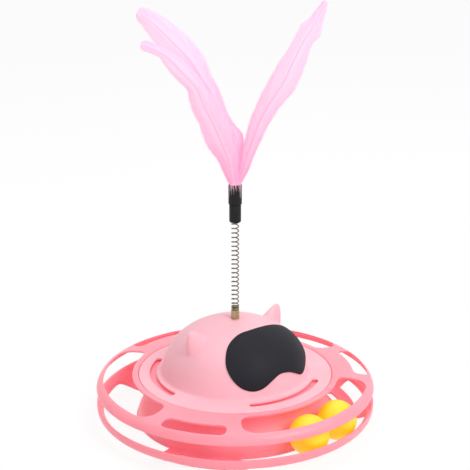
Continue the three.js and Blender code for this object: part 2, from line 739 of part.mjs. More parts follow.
function upperFerrule() {
  const bottom = ferruleSplit + seat;
  return revolve([
    [0, bottom - ferruleSpigotDrop], [ferruleSpigot, bottom - ferruleSpigotDrop],
    [ferruleSpigot, bottom], [upperFerruleRadius - 0.5, bottom],
    [upperFerruleRadius, bottom + 0.8], [upperFerruleRadius, ferruleTop - 0.4],
    [upperFerruleRadius - 0.4, ferruleTop], [quillPocket, ferruleTop],
    [quillPocket, ferruleTop - quillPocketDepth], [0, ferruleTop - quillPocketDepth],
  ], 20);
}

// Feather: an oval section that follows the spine, from the quill to the tip

function feather({ spine, half }) {
  const points = spine.map(([x, y, z]) => new THREE.Vector3(x, y, ferruleTop + z));
  const curve = new THREE.CatmullRomCurve3(points, false, 'centripetal');
  const halfWidth = (share) => {
    const at = share * (half.length - 1);
    const from = Math.min(Math.floor(at), half.length - 2);
    return THREE.MathUtils.lerp(half[from], half[from + 1], at - from);
  };
  const rings = [];
  for (let k = 0; k <= featherRings; k += 1) {
    const share = k / featherRings;
    const point = curve.getPoint(share);
    const run = curve.getTangent(share);
    const width = halfWidth(share);
    const spread = Math.min(1, (width - quillRadius) / 5);
    const thick = THREE.MathUtils.lerp(quillRadius, featherThick, spread);
    const flat = new THREE.Vector3(0, 1, 0).addScaledVector(run, -run.y).normalize();
    const across = new THREE.Vector3().crossVectors(run, flat).normalize();
    rings.push(Array.from({ length: 8 }, (_, s) => {
      const angle = (2 * Math.PI * s) / 8;
      return point.clone().addScaledVector(across, width * Math.cos(angle))
        .addScaledVector(flat, -thick * Math.sin(angle));
    }));
  }
  return loft(rings);
}

// A rubber pad under the floor, with a peg that stays below the balls' path
function footPad(azimuth) {
  const at = polar(footPathRadius, azimuth);
  const pad = revolve([
    [0, 0], [footRadius - 0.4, 0], [footRadius, 0.4], [footRadius, footHeight - seat],
    [footPegRadius, footHeight - seat], [footPegRadius, floorTop - 0.8],
    [footPegRadius - 0.4, floorTop - 0.4], [0, floorTop - 0.4],
  ], 12);
  return pad.translate(at.x, at.y, 0);
}

// The assembly

place('lower_track', lowerTrack(), trackPink);
place('upper_track', upperTrack(), trackPink);
panelAzimuths(footOffset).forEach((azimuth, k) => {
  place(`foot_pad_${k + 1}`, footPad(azimuth), rubberGrey);
});
panelAzimuths(screwOffset).forEach((azimuth, k) => {
  const at = polar(screwPathRadius, azimuth, shelfTop - trackWall - seat);
  const length = deckTop - deckSkin - holeSpare / 2 - at.z;
  place(`track_screw_${k + 1}`, screw(length), steel).position.copy(at);
});
place('axle_bush', bush(), nylonWhite);

const turntable = new THREE.Group();
model.add(turntable);
place('turntable_plate', turntablePlate(), trackPink, turntable);
place('cat_dome', dome(), domePink, turntable);
place('coat_patch', coatPatch(), softCharcoal, turntable);
for (let k = 0; k < 3; k += 1) {
  const at = polar(domePostPath, facePhase + 60 + 120 * k, plateBottom - seat);
  place(`dome_screw_${k + 1}`, screw(domeScrewLength), steel, turntable).position.copy(at);
}
place('axle_washer', tube(screwShank + screwGap, washerRadius, axleBottom - seat - washerThick,
  axleBottom - seat, 20), steel, turntable);
place('axle_screw', screw(axleScrewLength, axleScrewHead), steel, turntable).position
  .set(0, 0, axleBottom - 2 * seat - washerThick);
place('wand_socket', wandSocket(), brass, turntable);
place('wand_nut', wandNut(), brass, turntable);
place('wand_spring', spring(), steel, turntable);

const wand = new THREE.Group();
turntable.add(wand);
place('ferrule_lower', lowerFerrule(), blackRubber, wand);
place('ferrule_upper', upperFerrule(), blackRubber, wand);
for (const one of feathers) place(one.name, feather(one), featherPink, wand);

ballAzimuths.forEach((azimuth, k) => {
  const at = polar(pathRadius, azimuth, ballZ);
  place(`track_ball_${k + 1}`, new THREE.IcosahedronGeometry(ballRadius, 3), ballYellow)
    .position.copy(at);
});

console.log(`least gap of the spring to itself: ${leastSpringGap().toFixed(2)} mm`);

export default model;
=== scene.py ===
import json
import logging
import math
import random
from dataclasses import dataclass
from enum import Enum
from typing import Callable, Optional, Sequence

import bmesh
import bpy
import numpy as np
from mathutils import Matrix, Vector

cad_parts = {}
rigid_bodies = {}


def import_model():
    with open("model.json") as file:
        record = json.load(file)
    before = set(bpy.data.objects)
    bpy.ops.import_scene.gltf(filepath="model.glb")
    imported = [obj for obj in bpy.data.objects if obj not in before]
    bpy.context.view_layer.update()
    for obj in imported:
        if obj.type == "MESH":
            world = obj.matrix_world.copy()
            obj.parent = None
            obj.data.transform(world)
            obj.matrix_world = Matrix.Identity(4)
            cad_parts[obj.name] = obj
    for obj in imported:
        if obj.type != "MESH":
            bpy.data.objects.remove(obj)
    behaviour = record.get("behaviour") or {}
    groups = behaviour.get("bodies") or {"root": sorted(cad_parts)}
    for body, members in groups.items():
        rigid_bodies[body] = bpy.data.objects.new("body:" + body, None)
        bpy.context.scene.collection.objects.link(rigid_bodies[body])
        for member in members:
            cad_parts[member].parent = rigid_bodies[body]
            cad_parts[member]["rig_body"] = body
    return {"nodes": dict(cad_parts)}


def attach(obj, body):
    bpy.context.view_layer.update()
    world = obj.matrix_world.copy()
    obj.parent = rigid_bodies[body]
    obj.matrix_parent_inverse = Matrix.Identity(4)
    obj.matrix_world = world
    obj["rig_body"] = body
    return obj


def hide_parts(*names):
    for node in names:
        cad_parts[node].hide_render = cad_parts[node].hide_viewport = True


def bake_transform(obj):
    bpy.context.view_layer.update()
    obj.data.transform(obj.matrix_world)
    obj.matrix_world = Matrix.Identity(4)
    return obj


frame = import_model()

# Rotating cat toy: the looks of its ball track, cat dome and feather wand.
# Sizes are in millimetres and become metres where a mesh is finished. Azimuths are degrees
# counted from +X, anticlockwise seen from above, and the front of the toy is at -90. A mark
# is a place on a feather, and its colour lags behind the place towards both edges.

MM = 0.001
VANE = "vane"
LAG, LAG_CURVE = 0.14, 1.4
CLOSE = 1e-3
LOG = logging.getLogger("cat_toy")

Flat = tuple[float, float]
Pair = tuple[Flat, Flat]
Colour = tuple[float, float, float]
Piece = bpy.types.Object
Socket = bpy.types.NodeSocket
Material = bpy.types.Material


class Body(Enum):
    """Moving bodies of the toy."""

    BASE = "base"
    TURNTABLE = "turntable"
    WAND = "wand"
    BALL_1 = "ball_1"
    BALL_2 = "ball_2"


class Slot(Enum):
    """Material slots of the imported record."""

    TRACK = "track_pink"
    DOME = "dome_pink"
    PATCH = "patch_charcoal"
    BALL = "ball_yellow"
    PAD = "pad_grey"
    BUSH = "bush_white"
    SCREW = "screw_steel"
    SPRING = "spring_steel"
    SOCKET = "socket_brass"
    FERRULE = "ferrule_black"
    FEATHER = "feather_pink"


def polar(radius: float, azimuth: float, z: float = 0.0) -> Vector:
    """Gives the point at a radius, an azimuth in degrees and a height."""
    turn = math.radians(azimuth)
    return Vector((radius * math.cos(turn), radius * math.sin(turn), z))


def linear(colour: Colour) -> tuple[float, float, float, float]:
    """Turns a screen colour into the shader's linear one.

    Args:
        colour: red, green and blue from 0 to 255.

    Returns:
        Linear red, green and blue with an alpha of 1.
    """
    def channel(value: float) -> float:
        """Turns one channel into its linear value."""
        share = value / 255
        return share / 12.92 if share <= 0.04045 else ((share + 0.055) / 1.055) ** 2.4

    red, green, blue = colour
    return (channel(red), channel(green), channel(blue), 1.0)


class Bench:
    """Modelling operators that the pieces share."""

    @staticmethod
    def leave() -> None:
        """Goes back to object mode."""
        bpy.ops.object.mode_set(mode="OBJECT")

    @staticmethod
    def place(name: str, data: bpy.types.ID) -> Piece:
        """Adds an object to the scene.

        Args:
            name: its name.
            data: its mesh, lamp or camera.

        Returns:
            The object.
        """
        piece = bpy.data.objects.new(name, data)
        bpy.context.scene.collection.objects.link(piece)
        return piece

    @staticmethod
    def mesh(name: str, verts: Sequence[Vector], faces: Sequence[tuple[int, ...]]) -> Piece:
        """Makes an object of listed vertices and faces.

        Args:
            name: its name.
            verts: its vertices.
            faces: its faces, as numbers of vertices.

        Returns:
            The object.
        """
        mesh = bpy.data.meshes.new(name)
        mesh.from_pydata([tuple(place) for place in verts], [], list(faces))
        return Bench.place(name, mesh)

    @staticmethod
    def turn(piece: Piece, degrees: float, axis: str = "Z") -> None:
        """Turns a mesh round an axis through the origin."""
        piece.data.transform(Matrix.Rotation(math.radians(degrees), 4, axis))

    @staticmethod
    def move(piece: Piece, shift: Sequence[float]) -> None:
        """Moves a mesh."""
        piece.data.transform(Matrix.Translation(shift))

    @staticmethod
    def clear() -> None:
        """Leaves edit mode and deselects everything."""
        if bpy.context.object is not None and bpy.context.object.mode != "OBJECT":
            Bench.leave()
        bpy.ops.object.select_all(action="DESELECT")

    @staticmethod
    def activate(piece: Piece) -> None:
        """Makes one object the only selected one and the active one.

        Args:
            piece: the object.
        """
        Bench.clear()
        piece.select_set(True)
        bpy.context.view_layer.objects.active = piece

    @staticmethod
    def edit(piece: Piece, choose: Callable[[Vector], bool]) -> None:
        """Enters edit mode with the vertices selected that choose says yes to.

        Args:
            piece: the object to edit.
            choose: a test of a vertex's place in the piece's own units.
        """
        Bench.activate(piece)
        bpy.ops.object.mode_set(mode="EDIT")
        bpy.ops.mesh.select_mode(type="VERT")
        bpy.ops.mesh.select_all(action="DESELECT")
        shape = bmesh.from_edit_mesh(piece.data)
        for vertex in shape.verts:
            vertex.select = choose(vertex.co)
        shape.select_flush_mode()
        bmesh.update_edit_mesh(piece.data)

    @staticmethod
    def extrude(shift: Sequence[float] = (0.0, 0.0, 0.0)) -> None:
        """Extrudes what is selected and moves it by shift."""
        bpy.ops.mesh.extrude_region_move(TRANSFORM_OT_translate={"value": tuple(shift)})

    @staticmethod
    def loops(rings: Sequence[Sequence[Vector]]) -> Piece:
        """Grows a skin from a circle: each extrusion's loop is set on the next ring of points.

        Args:
            rings: rings of points, all of one count and in one order.

        Returns:
            The object, in object mode, with both ends open.
        """
        Bench.clear()
        bpy.ops.mesh.primitive_circle_add(vertices=len(rings[0]), radius=1, fill_type="NOTHING")
        piece = bpy.context.object
        bpy.ops.object.mode_set(mode="EDIT")
        bpy.ops.mesh.select_mode(type="VERT")
        bpy.ops.mesh.select_all(action="SELECT")
        for number, ring in enumerate(rings):
            if number:
                Bench.extrude()
            shape = bmesh.from_edit_mesh(piece.data)
            shape.verts.index_update()
            chosen = sorted((v for v in shape.verts if v.select), key=lambda v: v.index)
            for vertex, place in zip(chosen, ring, strict=True):
                vertex.co = place
            bmesh.update_edit_mesh(piece.data)
        Bench.leave()
        return piece

    @staticmethod
    def cap(piece: Piece, choose: Callable[[Vector], bool]) -> None:
        """Closes an open loop with one face.

        Args:
            piece: the object.
            choose: a test of a vertex's place that only the loop passes.
        """
        Bench.edit(piece, choose)
        bpy.ops.mesh.edge_face_add()
        Bench.leave()

    @staticmethod
    def join(pieces: Sequence[Piece]) -> Piece:
        """Joins objects into the first of them.

        Args:
            pieces: the objects.

        Returns:
            The first object.
        """
        Bench.activate(pieces[0])
        for piece in pieces:
            piece.select_set(True)
        bpy.ops.object.join()
        return pieces[0]

    @staticmethod
    def tidy(piece: Piece, distance: float = CLOSE) -> None:
        """Merges doubles and turns the faces outward.

        Args:
            piece: the object.
            distance: how close two doubles are.
        """
        Bench.activate(piece)
        bpy.ops.object.mode_set(mode="EDIT")
        bpy.ops.mesh.select_all(action="SELECT")
        bpy.ops.mesh.remove_doubles(threshold=distance)
        bpy.ops.mesh.normals_make_consistent(inside=False)
        Bench.leave()

    @staticmethod
    def modify(piece: Piece, kind: str, **settings: object) -> None:
        """Adds a modifier with its settings and applies it.

        Args:
            piece: the object.
            kind: the modifier's type.
            settings: its properties.
        """
        Bench.activate(piece)
        modifier = piece.modifiers.new(kind.title(), kind)
        for name, value in settings.items():
            setattr(modifier, name, value)
        bpy.ops.object.modifier_apply(modifier=modifier.name)

    @staticmethod
    def smooth(piece: Piece, levels: int) -> None:
        """Subdivides a piece into its smooth surface."""
        Bench.modify(piece, "SUBSURF", levels=levels, render_levels=levels)

    @staticmethod
    def places(piece: Piece) -> np.ndarray:
        """Reads the vertices of a mesh as rows of x, y and z.

        Args:
            piece: the object.

        Returns:
            The rows.
        """
        flat = np.zeros(len(piece.data.vertices) * 3)
        piece.data.vertices.foreach_get("co", flat)
        return flat.reshape(-1, 3)

    @staticmethod
    def set_places(piece: Piece, places: np.ndarray) -> None:
        """Writes the vertices of a mesh."""
        piece.data.vertices.foreach_set("co", places.ravel())
        piece.data.update()

    @staticmethod
    def finish(piece: Piece, name: str, body: Body, slot: Slot,
               material: Material, stands_for: Sequence[str] = (),
               sharp: float = 40.0) -> Piece:
        """Names, scales, shades and dresses a piece and puts it on its body.

        Args:
            piece: the object, modelled in millimetres.
            name: its name in the scene.
            body: the body that it moves with.
            slot: the record's material slot.
            material: its finish.
            stands_for: CAD nodes that it is shown instead of.
            sharp: edges sharper than this many degrees stay crisp.

        Returns:
            The finished object.
        """
        Bench.clear()
        piece.data.transform(Matrix.Scale(MM, 4))
        piece.name = name
        piece.data.name = name
        piece.data.materials.clear()
        piece.data.materials.append(material)
        Bench.activate(piece)
        bpy.ops.object.shade_smooth_by_angle(angle=math.radians(sharp))
        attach(piece, body.value)
        if stands_for:
            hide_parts(*stands_for)
        LOG.info("%s: %d faces", name, len(piece.data.polygons))
        return piece


class Tree:
    """A node tree, filled node by node."""

    def __init__(self, tree: bpy.types.NodeTree) -> None:
        """Takes up a tree."""
        self.tree = tree

    def add(self, kind: str, **settings: object) -> bpy.types.Node:
        """Adds a node and sets its properties, or its inputs where it has no such property.

        Args:
            kind: the node's type.
            settings: values by name, with an underscore for each space.

        Returns:
            The node.
        """
        node = self.tree.nodes.new(kind)
        for name, value in settings.items():
            if hasattr(node, name):
                setattr(node, name, value)
            else:
                node.inputs[name.replace("_", " ")].default_value = value
        return node

    def link(self, source: Socket, target: Socket) -> None:
        """Links two sockets."""
        self.tree.links.new(source, target)

    def seen(self) -> Socket:
        """Adds a test of the ray.

        Returns:
            1 for what the camera sees, straight, reflected or through a clear body, or else 0.
        """
        path = self.add("ShaderNodeLightPath")
        found = path.outputs["Is Camera Ray"]
        for kind in ("Is Glossy Ray", "Is Transmission Ray"):
            either = self.add("ShaderNodeMath", operation="MAXIMUM")
            self.link(found, either.inputs[0])
            self.link(path.outputs[kind], either.inputs[1])
            found = either.outputs["Value"]
        return found


class Nodes(Tree):
    """A material's node tree, with its shader and its output."""

    def __init__(self, name: str) -> None:
        """Starts a material with a shader that is linked to its output.

        Args:
            name: the material's name.
        """
        self.material = bpy.data.materials.new(name)
        self.material.use_nodes = True
        super().__init__(self.material.node_tree)
        self.shader = self.tree.nodes["Principled BSDF"]
        self.output = self.tree.nodes["Material Output"]

    def set(self, **values: object) -> None:
        """Sets sockets of the shader."""
        for name, value in values.items():
            self.shader.inputs[name.replace("_", " ")].default_value = value

    def noise(self, scale: float, detail: float = 2.0, source: str = "Object",
              stretch: Sequence[float] = (1.0, 1.0, 1.0)) -> Socket:
        """Adds a noise pattern.

        Args:
            scale: how many features fit in a metre, or in the width of a UV map.
            detail: how many finer layers the noise has.
            source: Object or UV.
            stretch: scale of each direction.

        Returns:
            The noise's factor.
        """
        where = self.add("ShaderNodeTexCoord")
        mapping = self.add("ShaderNodeMapping", Scale=tuple(stretch))
        pattern = self.add("ShaderNodeTexNoise", Scale=scale, Detail=detail)
        self.link(where.outputs[source], mapping.inputs["Vector"])
        self.link(mapping.outputs["Vector"], pattern.inputs["Vector"])
        return pattern.outputs["Fac"]

    def dye(self, factor: Socket, stops: Sequence[tuple[float, Colour]]) -> Socket:
        """Colours the shader by a colour ramp.

        Args:
            factor: the value that picks the colour.
            stops: positions from 0 to 1 with their screen colours.

        Returns:
            The ramp's colour.
        """
        node = self.add("ShaderNodeValToRGB")
        elements = node.color_ramp.elements
        while len(elements) < len(stops):
            elements.new(0.5)
        for element, (position, colour) in zip(elements, stops, strict=True):
            element.position = position
            element.color = linear(colour)
        self.link(factor, node.inputs["Fac"])
        self.link(node.outputs["Color"], self.shader.inputs["Base Color"])
        return node.outputs["Color"]

    def roughen(self, factor: Socket, low: float, high: float) -> None:
        """Sets the roughness by a pattern, whose middle half becomes the range.

        Args:
            factor: the pattern.
            low: least roughness.
            high: greatest roughness.
        """
        node = self.add("ShaderNodeMapRange", From_Min=0.25, From_Max=0.75, To_Min=low,
                        To_Max=high)
        self.link(factor, node.inputs["Value"])
        self.link(node.outputs["Result"], self.shader.inputs["Roughness"])

    def bump(self, height: Socket, distance: float, strength: float) -> None:
        """Gives the surface a relief by a height pattern.

        Args:
            height: the pattern.
            distance: height of the relief in metres.
            strength: how strongly it shows.
        """
        node = self.add("ShaderNodeBump", Distance=distance, Strength=strength)
        self.link(height, node.inputs["Height"])
        self.link(node.outputs["Normal"], self.shader.inputs["Normal"])

    def mix(self, other: Socket) -> Socket:
        """Sends the shader to the output mixed with another one.

        Args:
            other: the other shader's output.

        Returns:
            The factor's socket: 0 shows the first shader and 1 the other one.
        """
        both = self.add("ShaderNodeMixShader", Fac=0.5)
        self.link(self.shader.outputs["BSDF"], both.inputs[1])
        self.link(other, both.inputs[2])
        self.link(both.outputs["Shader"], self.output.inputs["Surface"])
        return both.inputs["Fac"]


def shade(colour: Colour, share: float) -> Colour:
    """Gives a darker or lighter screen colour."""
    return tuple(min(255.0, channel * share) for channel in colour)


@dataclass(frozen=True)
class MouldedPlastic:
    """Injection-moulded plastic with faint flow clouds and a fine satin grain.

    Attributes:
        name: the finish's name.
        colour: screen colour.
        roughness: mean roughness.
        grain: height of the satin grain in millimetres.
        glow: share of light that scatters under the surface.
        glow_colour: reach of that light in red, green and blue, in millimetres.
        inner: colour of the painted glow that lifts the shaded places as if lit through the
            walls.
        through: strength of that painted glow, an emission all over the surface.
    """

    name: str
    colour: Colour
    roughness: float
    grain: float = 0.02
    glow: float = 0.0
    glow_colour: Colour = (4.0, 1.0, 1.0)
    inner: Colour = (255.0, 85.0, 100.0)
    through: float = 0.0

    def build(self) -> Material:
        """Makes the material.

        Returns:
            The material.
        """
        nodes = Nodes(self.name)
        nodes.dye(nodes.noise(28.0, 3.0), [(0.3, shade(self.colour, 0.975)),
                                           (0.7, shade(self.colour, 1.015))])
        nodes.roughen(nodes.noise(160.0, 4.0), self.roughness - 0.05, self.roughness + 0.05)
        nodes.bump(nodes.noise(2600.0, 2.0), self.grain * MM, 0.35)
        # The emission is a painted glow of the inner colour that lifts the moulding's shade.
        nodes.set(Subsurface_Weight=self.glow, Subsurface_Scale=MM,
                  Subsurface_Radius=self.glow_colour, Specular_IOR_Level=0.5,
                  Emission_Color=linear(self.inner), Emission_Strength=self.through)
        return nodes.material


@dataclass(frozen=True)
class SoftCoat:
    """Matte soft-touch rubber with a powdery sheen and faint handling marks.

    Attributes:
        name: the finish's name.
        colour: screen colour.
        roughness: mean roughness.
        sheen: weight of the sheen.
    """

    name: str
    colour: Colour
    roughness: float = 0.6
    sheen: float = 0.1

    def build(self) -> Material:
        """Makes the material.

        Returns:
            The material.
        """
        nodes = Nodes(self.name)
        marks = nodes.noise(45.0, 5.0)
        nodes.dye(marks, [(0.3, shade(self.colour, 0.9)), (0.7, shade(self.colour, 1.1))])
        nodes.roughen(marks, self.roughness - 0.05, self.roughness + 0.08)
        nodes.bump(nodes.noise(1900.0, 3.0), 0.03 * MM, 0.5)
        nodes.set(Sheen_Weight=self.sheen, Sheen_Roughness=0.5, Specular_IOR_Level=0.26)
        return nodes.material


@dataclass(frozen=True)
class BareMetal:
    """Turned or drawn metal with brush lines round its axis.

    Attributes:
        name: the finish's name.
        colour: screen colour.
        roughness: mean roughness.
        tarnish: share by which stained places are darker.
    """

    name: str
    colour: Colour
    roughness: float = 0.3
    tarnish: float = 0.2

    def build(self) -> Material:
        """Makes the material.

        Returns:
            The material.
        """
        nodes = Nodes(self.name)
        nodes.dye(nodes.noise(220.0, 5.0), [(0.3, shade(self.colour, 1 - self.tarnish)),
                                            (0.62, self.colour)])
        lines = nodes.noise(900.0, 3.0, stretch=(1.0, 1.0, 14.0))
        nodes.roughen(lines, self.roughness - 0.08, self.roughness + 0.1)
        nodes.bump(lines, 0.02 * MM, 0.4)
        nodes.set(Metallic=1.0)
        return nodes.material


@dataclass(frozen=True)
class Plumage:
    """Dyed feather: a deep root, a pale tip, and silky streaks along the barbs.

    Attributes:
        name: the finish's name.
        root: screen colour at the quill.
        middle: screen colour half way.
        tip: screen colour at the tip.
    """

    name: str
    root: Colour
    middle: Colour
    tip: Colour

    def build(self) -> Material:
        """Makes the material.

        Returns:
            The material.
        """
        nodes = Nodes(self.name)
        where = nodes.add("ShaderNodeUVMap", uv_map=VANE)
        split = nodes.add("ShaderNodeSeparateXYZ")
        nodes.link(where.outputs["UV"], split.inputs["Vector"])
        streaks = nodes.noise(1.0, 4.0, "UV", (3.0, 70.0, 1.0))
        wander = nodes.add("ShaderNodeMath", operation="MULTIPLY_ADD")
        wander.inputs[1].default_value = 0.35
        nodes.link(streaks, wander.inputs[0])
        nodes.link(split.outputs["Y"], wander.inputs[2])
        colour = nodes.dye(wander.outputs["Value"], [
            (0.12, self.root), (0.4, self.middle), (0.8, self.tip), (1.0, self.tip)])
        nodes.bump(streaks, 0.12 * MM, 0.5)
        # The emission is a painted glow of the middle colour that lightens the feather's shaded
        # side.
        nodes.set(Roughness=0.75, Sheen_Weight=0.35, Sheen_Roughness=0.4,
                  Specular_IOR_Level=0.25, Emission_Color=linear(self.middle),
                  Emission_Strength=0.24)
        through = nodes.add("ShaderNodeBsdfTranslucent")
        nodes.link(colour, through.inputs["Color"])
        nodes.mix(through.outputs["BSDF"])
        return nodes.material


@dataclass(frozen=True)
class Opening:
    """An opening with rounded corners in a ring, centred on azimuth 0.

    Attributes:
        inner: radius of its inner edge.
        outer: radius of its outer edge.
        half: half of its length in degrees.
        round_in: radius of the inner corners.
        round_out: radius of the outer corners.
        steps: segments of half a corner.
    """

    inner: float
    outer: float
    half: float
    round_in: float
    round_out: float
    steps: int = 2

    def outline(self, columns: int, rows: int, grow: float = 0.0) -> list[Vector]:
        """Walks round the opening, from the middle of its inner corner at the low azimuth.

        Args:
            columns: segments of each long side, corner halves included.
            rows: segments of each short side, corner halves included.
            grow: millimetres by which the outline is enlarged.

        Returns:
            The points, in the order of Cell.border.
        """
        half = self.half + math.degrees(grow * 2 / (self.inner + self.outer))
        fillets = {-1: self.round_in + grow, 1: self.round_out + grow}
        edges = {-1: self.inner - grow, 1: self.outer + grow}

        def corner(side: int, outward: int, share: float) -> Flat:
            """Gives a corner's point: share 0 lies on the long side and 1 on the short one.

            Args:
                side: -1 at the low azimuth and 1 at the high one.
                outward: -1 at the inner edge and 1 at the outer one.
                share: place on the corner.

            Returns:
                Its radius and azimuth.
            """
            centre = edges[outward] - outward * fillets[outward]
            swing = math.degrees(fillets[outward] / centre)
            turn = math.radians(90 * share)
            return (centre + outward * fillets[outward] * math.cos(turn),
                    side * (half - swing + swing * math.sin(turn)))

        def run(start: Flat, end: Flat, count: int) -> list[Flat]:
            """Gives the points between two ends, without the ends."""
            return [(start[0] + (end[0] - start[0]) * k / count,
                     start[1] + (end[1] - start[1]) * k / count) for k in range(1, count)]

        corners = ((-1, -1), (1, -1), (1, 1), (-1, 1))
        shares = spaced(0, 1, 2 * self.steps)
        points: list[Flat] = []
        for number, (side, outward) in enumerate(corners):
            to_long = number % 2 == 0
            points += [corner(side, outward, share)
                       for share in (reversed(shares) if to_long else shares)]
            ahead = corner(*corners[(number + 1) % 4], 0 if to_long else 1)
            points += run(points[-1], ahead, (columns if to_long else rows) - 2 * self.steps)
        points = points[self.steps:] + points[:self.steps]
        return [polar(radius, azimuth) for radius, azimuth in points]


@dataclass(frozen=True)
class Cell:
    """A stretch of a ring, with an opening in it or plain.

    Attributes:
        centre: azimuth of its middle.
        half: half of its length in degrees.
        radii: radii of the vertices on its short sides, from the inner edge outward.
        opening: the opening, if it has one.
    """

    centre: float
    half: float
    radii: tuple[float, ...]
    opening: Optional[Opening] = None

    def columns(self, pitch: float) -> int:
        """Gives the number of segments of the long sides."""
        return round(2 * self.half / pitch)

    def border(self, pitch: float) -> list[Vector]:
        """Walks round the cell's border, from its inner corner at the low azimuth.

        Args:
            pitch: degrees between two columns.

        Returns:
            The points.
        """
        columns = self.columns(pitch)
        across = [-self.half + 2 * self.half * k / columns for k in range(columns + 1)]
        points = [(self.radii[0], azimuth) for azimuth in across]
        points += [(radius, self.half) for radius in self.radii[1:]]
        points += [(self.radii[-1], azimuth) for azimuth in across[-2::-1]]
        points += [(radius, -self.half) for radius in self.radii[-2:0:-1]]
        return [polar(radius, azimuth) for radius, azimuth in points]

    def build(self, pitch: float, support: float) -> Piece:
        """Models the cell flat, in polar place.

        Args:
            pitch: degrees between two columns.
            support: distance of the loop that keeps the opening's edge firm.

        Returns:
            The flat sheet.
        """
        columns, rows = self.columns(pitch), len(self.radii) - 1
        if self.opening is None:
            Bench.clear()
            bpy.ops.mesh.primitive_grid_add(x_subdivisions=columns, y_subdivisions=rows, size=2)
            piece = bpy.context.object
            places = Bench.places(piece)
            for place in places:
                row = round((place[1] + 1) / 2 * rows)
                place[:] = polar(self.radii[row], place[0] * self.half)
            Bench.set_places(piece, places)
        else:
            border = self.border(pitch)
            edge = self.opening.outline(columns, rows)
            firm = self.opening.outline(columns, rows, support)
            between = [a.lerp(b, 0.5) for a, b in zip(firm, border, strict=True)]
            piece = Bench.loops([edge, firm, between, border])
        Bench.turn(piece, self.centre)
        return piece


@dataclass(frozen=True)
class PiercedRing:
    """A curved moulding of even wall, round Z, with openings in its middle zone.

    It is laid out flat, as a ring of cells and plain rows, gets its wall, and is then set on
    its two faces.

    Attributes:
        cells: the cells of one repeat of the ring.
        repeats: how often the cells repeat round Z.
        pitch: degrees between two columns.
        face: gives the heights of the upper and the lower face at a radius in the cells.
        inward: pairs of upper and lower face points, from the cells' inner edge inward.
        outward: the same from the cells' outer edge outward.
        support: distance of the loops that keep an opening's edges firm.
        levels: subdivision levels.
    """

    cells: tuple[Cell, ...]
    repeats: int
    pitch: float
    face: Callable[[float], Flat]
    inward: tuple[Pair, ...]
    outward: tuple[Pair, ...]
    support: float = 0.45
    levels: int = 1

    @property
    def zone(self) -> Flat:
        """Radii of the cells' inner and outer edges."""
        return (min(cell.radii[0] for cell in self.cells),
                max(cell.radii[-1] for cell in self.cells))

    def lay_out(self) -> Piece:
        """Models the ring flat: cells, then plain rows extruded inward and outward.

        Returns:
            The flat ring.
        """
        sheets = []
        for repeat in range(self.repeats):
            turn = Matrix.Rotation(2 * math.pi * repeat / self.repeats, 4, "Z")
            for cell in self.cells:
                sheet = cell.build(self.pitch, self.support)
                sheet.data.transform(turn)
                sheets.append(sheet)
        flat = Bench.join(sheets)
        Bench.tidy(flat)
        low, high = self.zone
        for edge, step, count in ((low, -1.0, len(self.inward)), (high, 1.0, len(self.outward))):
            Bench.edit(flat, lambda place, edge=edge: abs(place.xy.length - edge) < 1e-2)
            for number in range(count):
                Bench.extrude()
                ratio = (edge + step * (number + 1)) / (edge + step * number)
                bpy.ops.transform.resize(value=(ratio, ratio, 1), center_override=(0, 0, 0))
        Bench.leave()
        return flat

    def thicken(self, flat: Piece) -> None:
        """Extrudes the sheet through its wall, with loops near both faces.

        Args:
            flat: the flat ring.
        """
        Bench.edit(flat, lambda place: True)
        for rise in (0.25, 0.5, 0.25):
            Bench.extrude((0, 0, rise))
        Bench.leave()

    def wrap(self, flat: Piece) -> None:
        """Sets the slab on its two faces.

        Args:
            flat: the flat ring with its wall.
        """
        low, high = self.zone
        places = Bench.places(flat)
        for place in places:
            radius = math.hypot(place[0], place[1])
            if radius < low - 0.5:
                upper, lower = self.inward[round(low - radius) - 1]
            elif radius > high + 0.5:
                upper, lower = self.outward[round(radius - high) - 1]
            else:
                top, under = self.face(radius)
                upper, lower = (radius, top), (radius, under)
            reach = lower[0] + (upper[0] - lower[0]) * place[2]
            height = lower[1] + (upper[1] - lower[1]) * place[2]
            place[:] = (place[0] * reach / radius, place[1] * reach / radius, height)
        Bench.set_places(flat, places)

    def build(self) -> Piece:
        """Models the moulding.

        Returns:
            The moulding.
        """
        piece = self.lay_out()
        self.thicken(piece)
        self.wrap(piece)
        Bench.tidy(piece)
        Bench.smooth(piece, self.levels)
        return piece


def spaced(start: float, end: float, count: int) -> list[float]:
    """Gives count + 1 values from start to end, evenly spaced."""
    return [start + (end - start) * k / count for k in range(count + 1)]


def broken(points: Sequence[Flat], x: float) -> float:
    """Reads a line of points at x, by straight stretches."""
    return float(np.interp(x, [p[0] for p in points], [p[1] for p in points]))


def turned(outline: Sequence[Flat], sides: int, closed: bool = False) -> Piece:
    """Turns an outline of radius and height round Z, from a circle by extrusions.

    Args:
        outline: points of radius and height, from the foot up the outside.
        sides: vertices round Z.
        closed: whether the outline closes on itself, as a tube's does.

    Returns:
        The closed body.
    """
    rings = [[polar(radius, 360 * k / sides, z) for k in range(sides)] for radius, z in outline]
    if closed:
        rings.append(rings[0])
    piece = Bench.loops(rings)
    if not closed:
        for radius, z in (outline[0], outline[-1]):
            Bench.cap(piece, lambda place, z=z, radius=radius: abs(place.z - z) < 1e-4
                      and place.xy.length < radius + CLOSE)
    Bench.tidy(piece)
    return piece


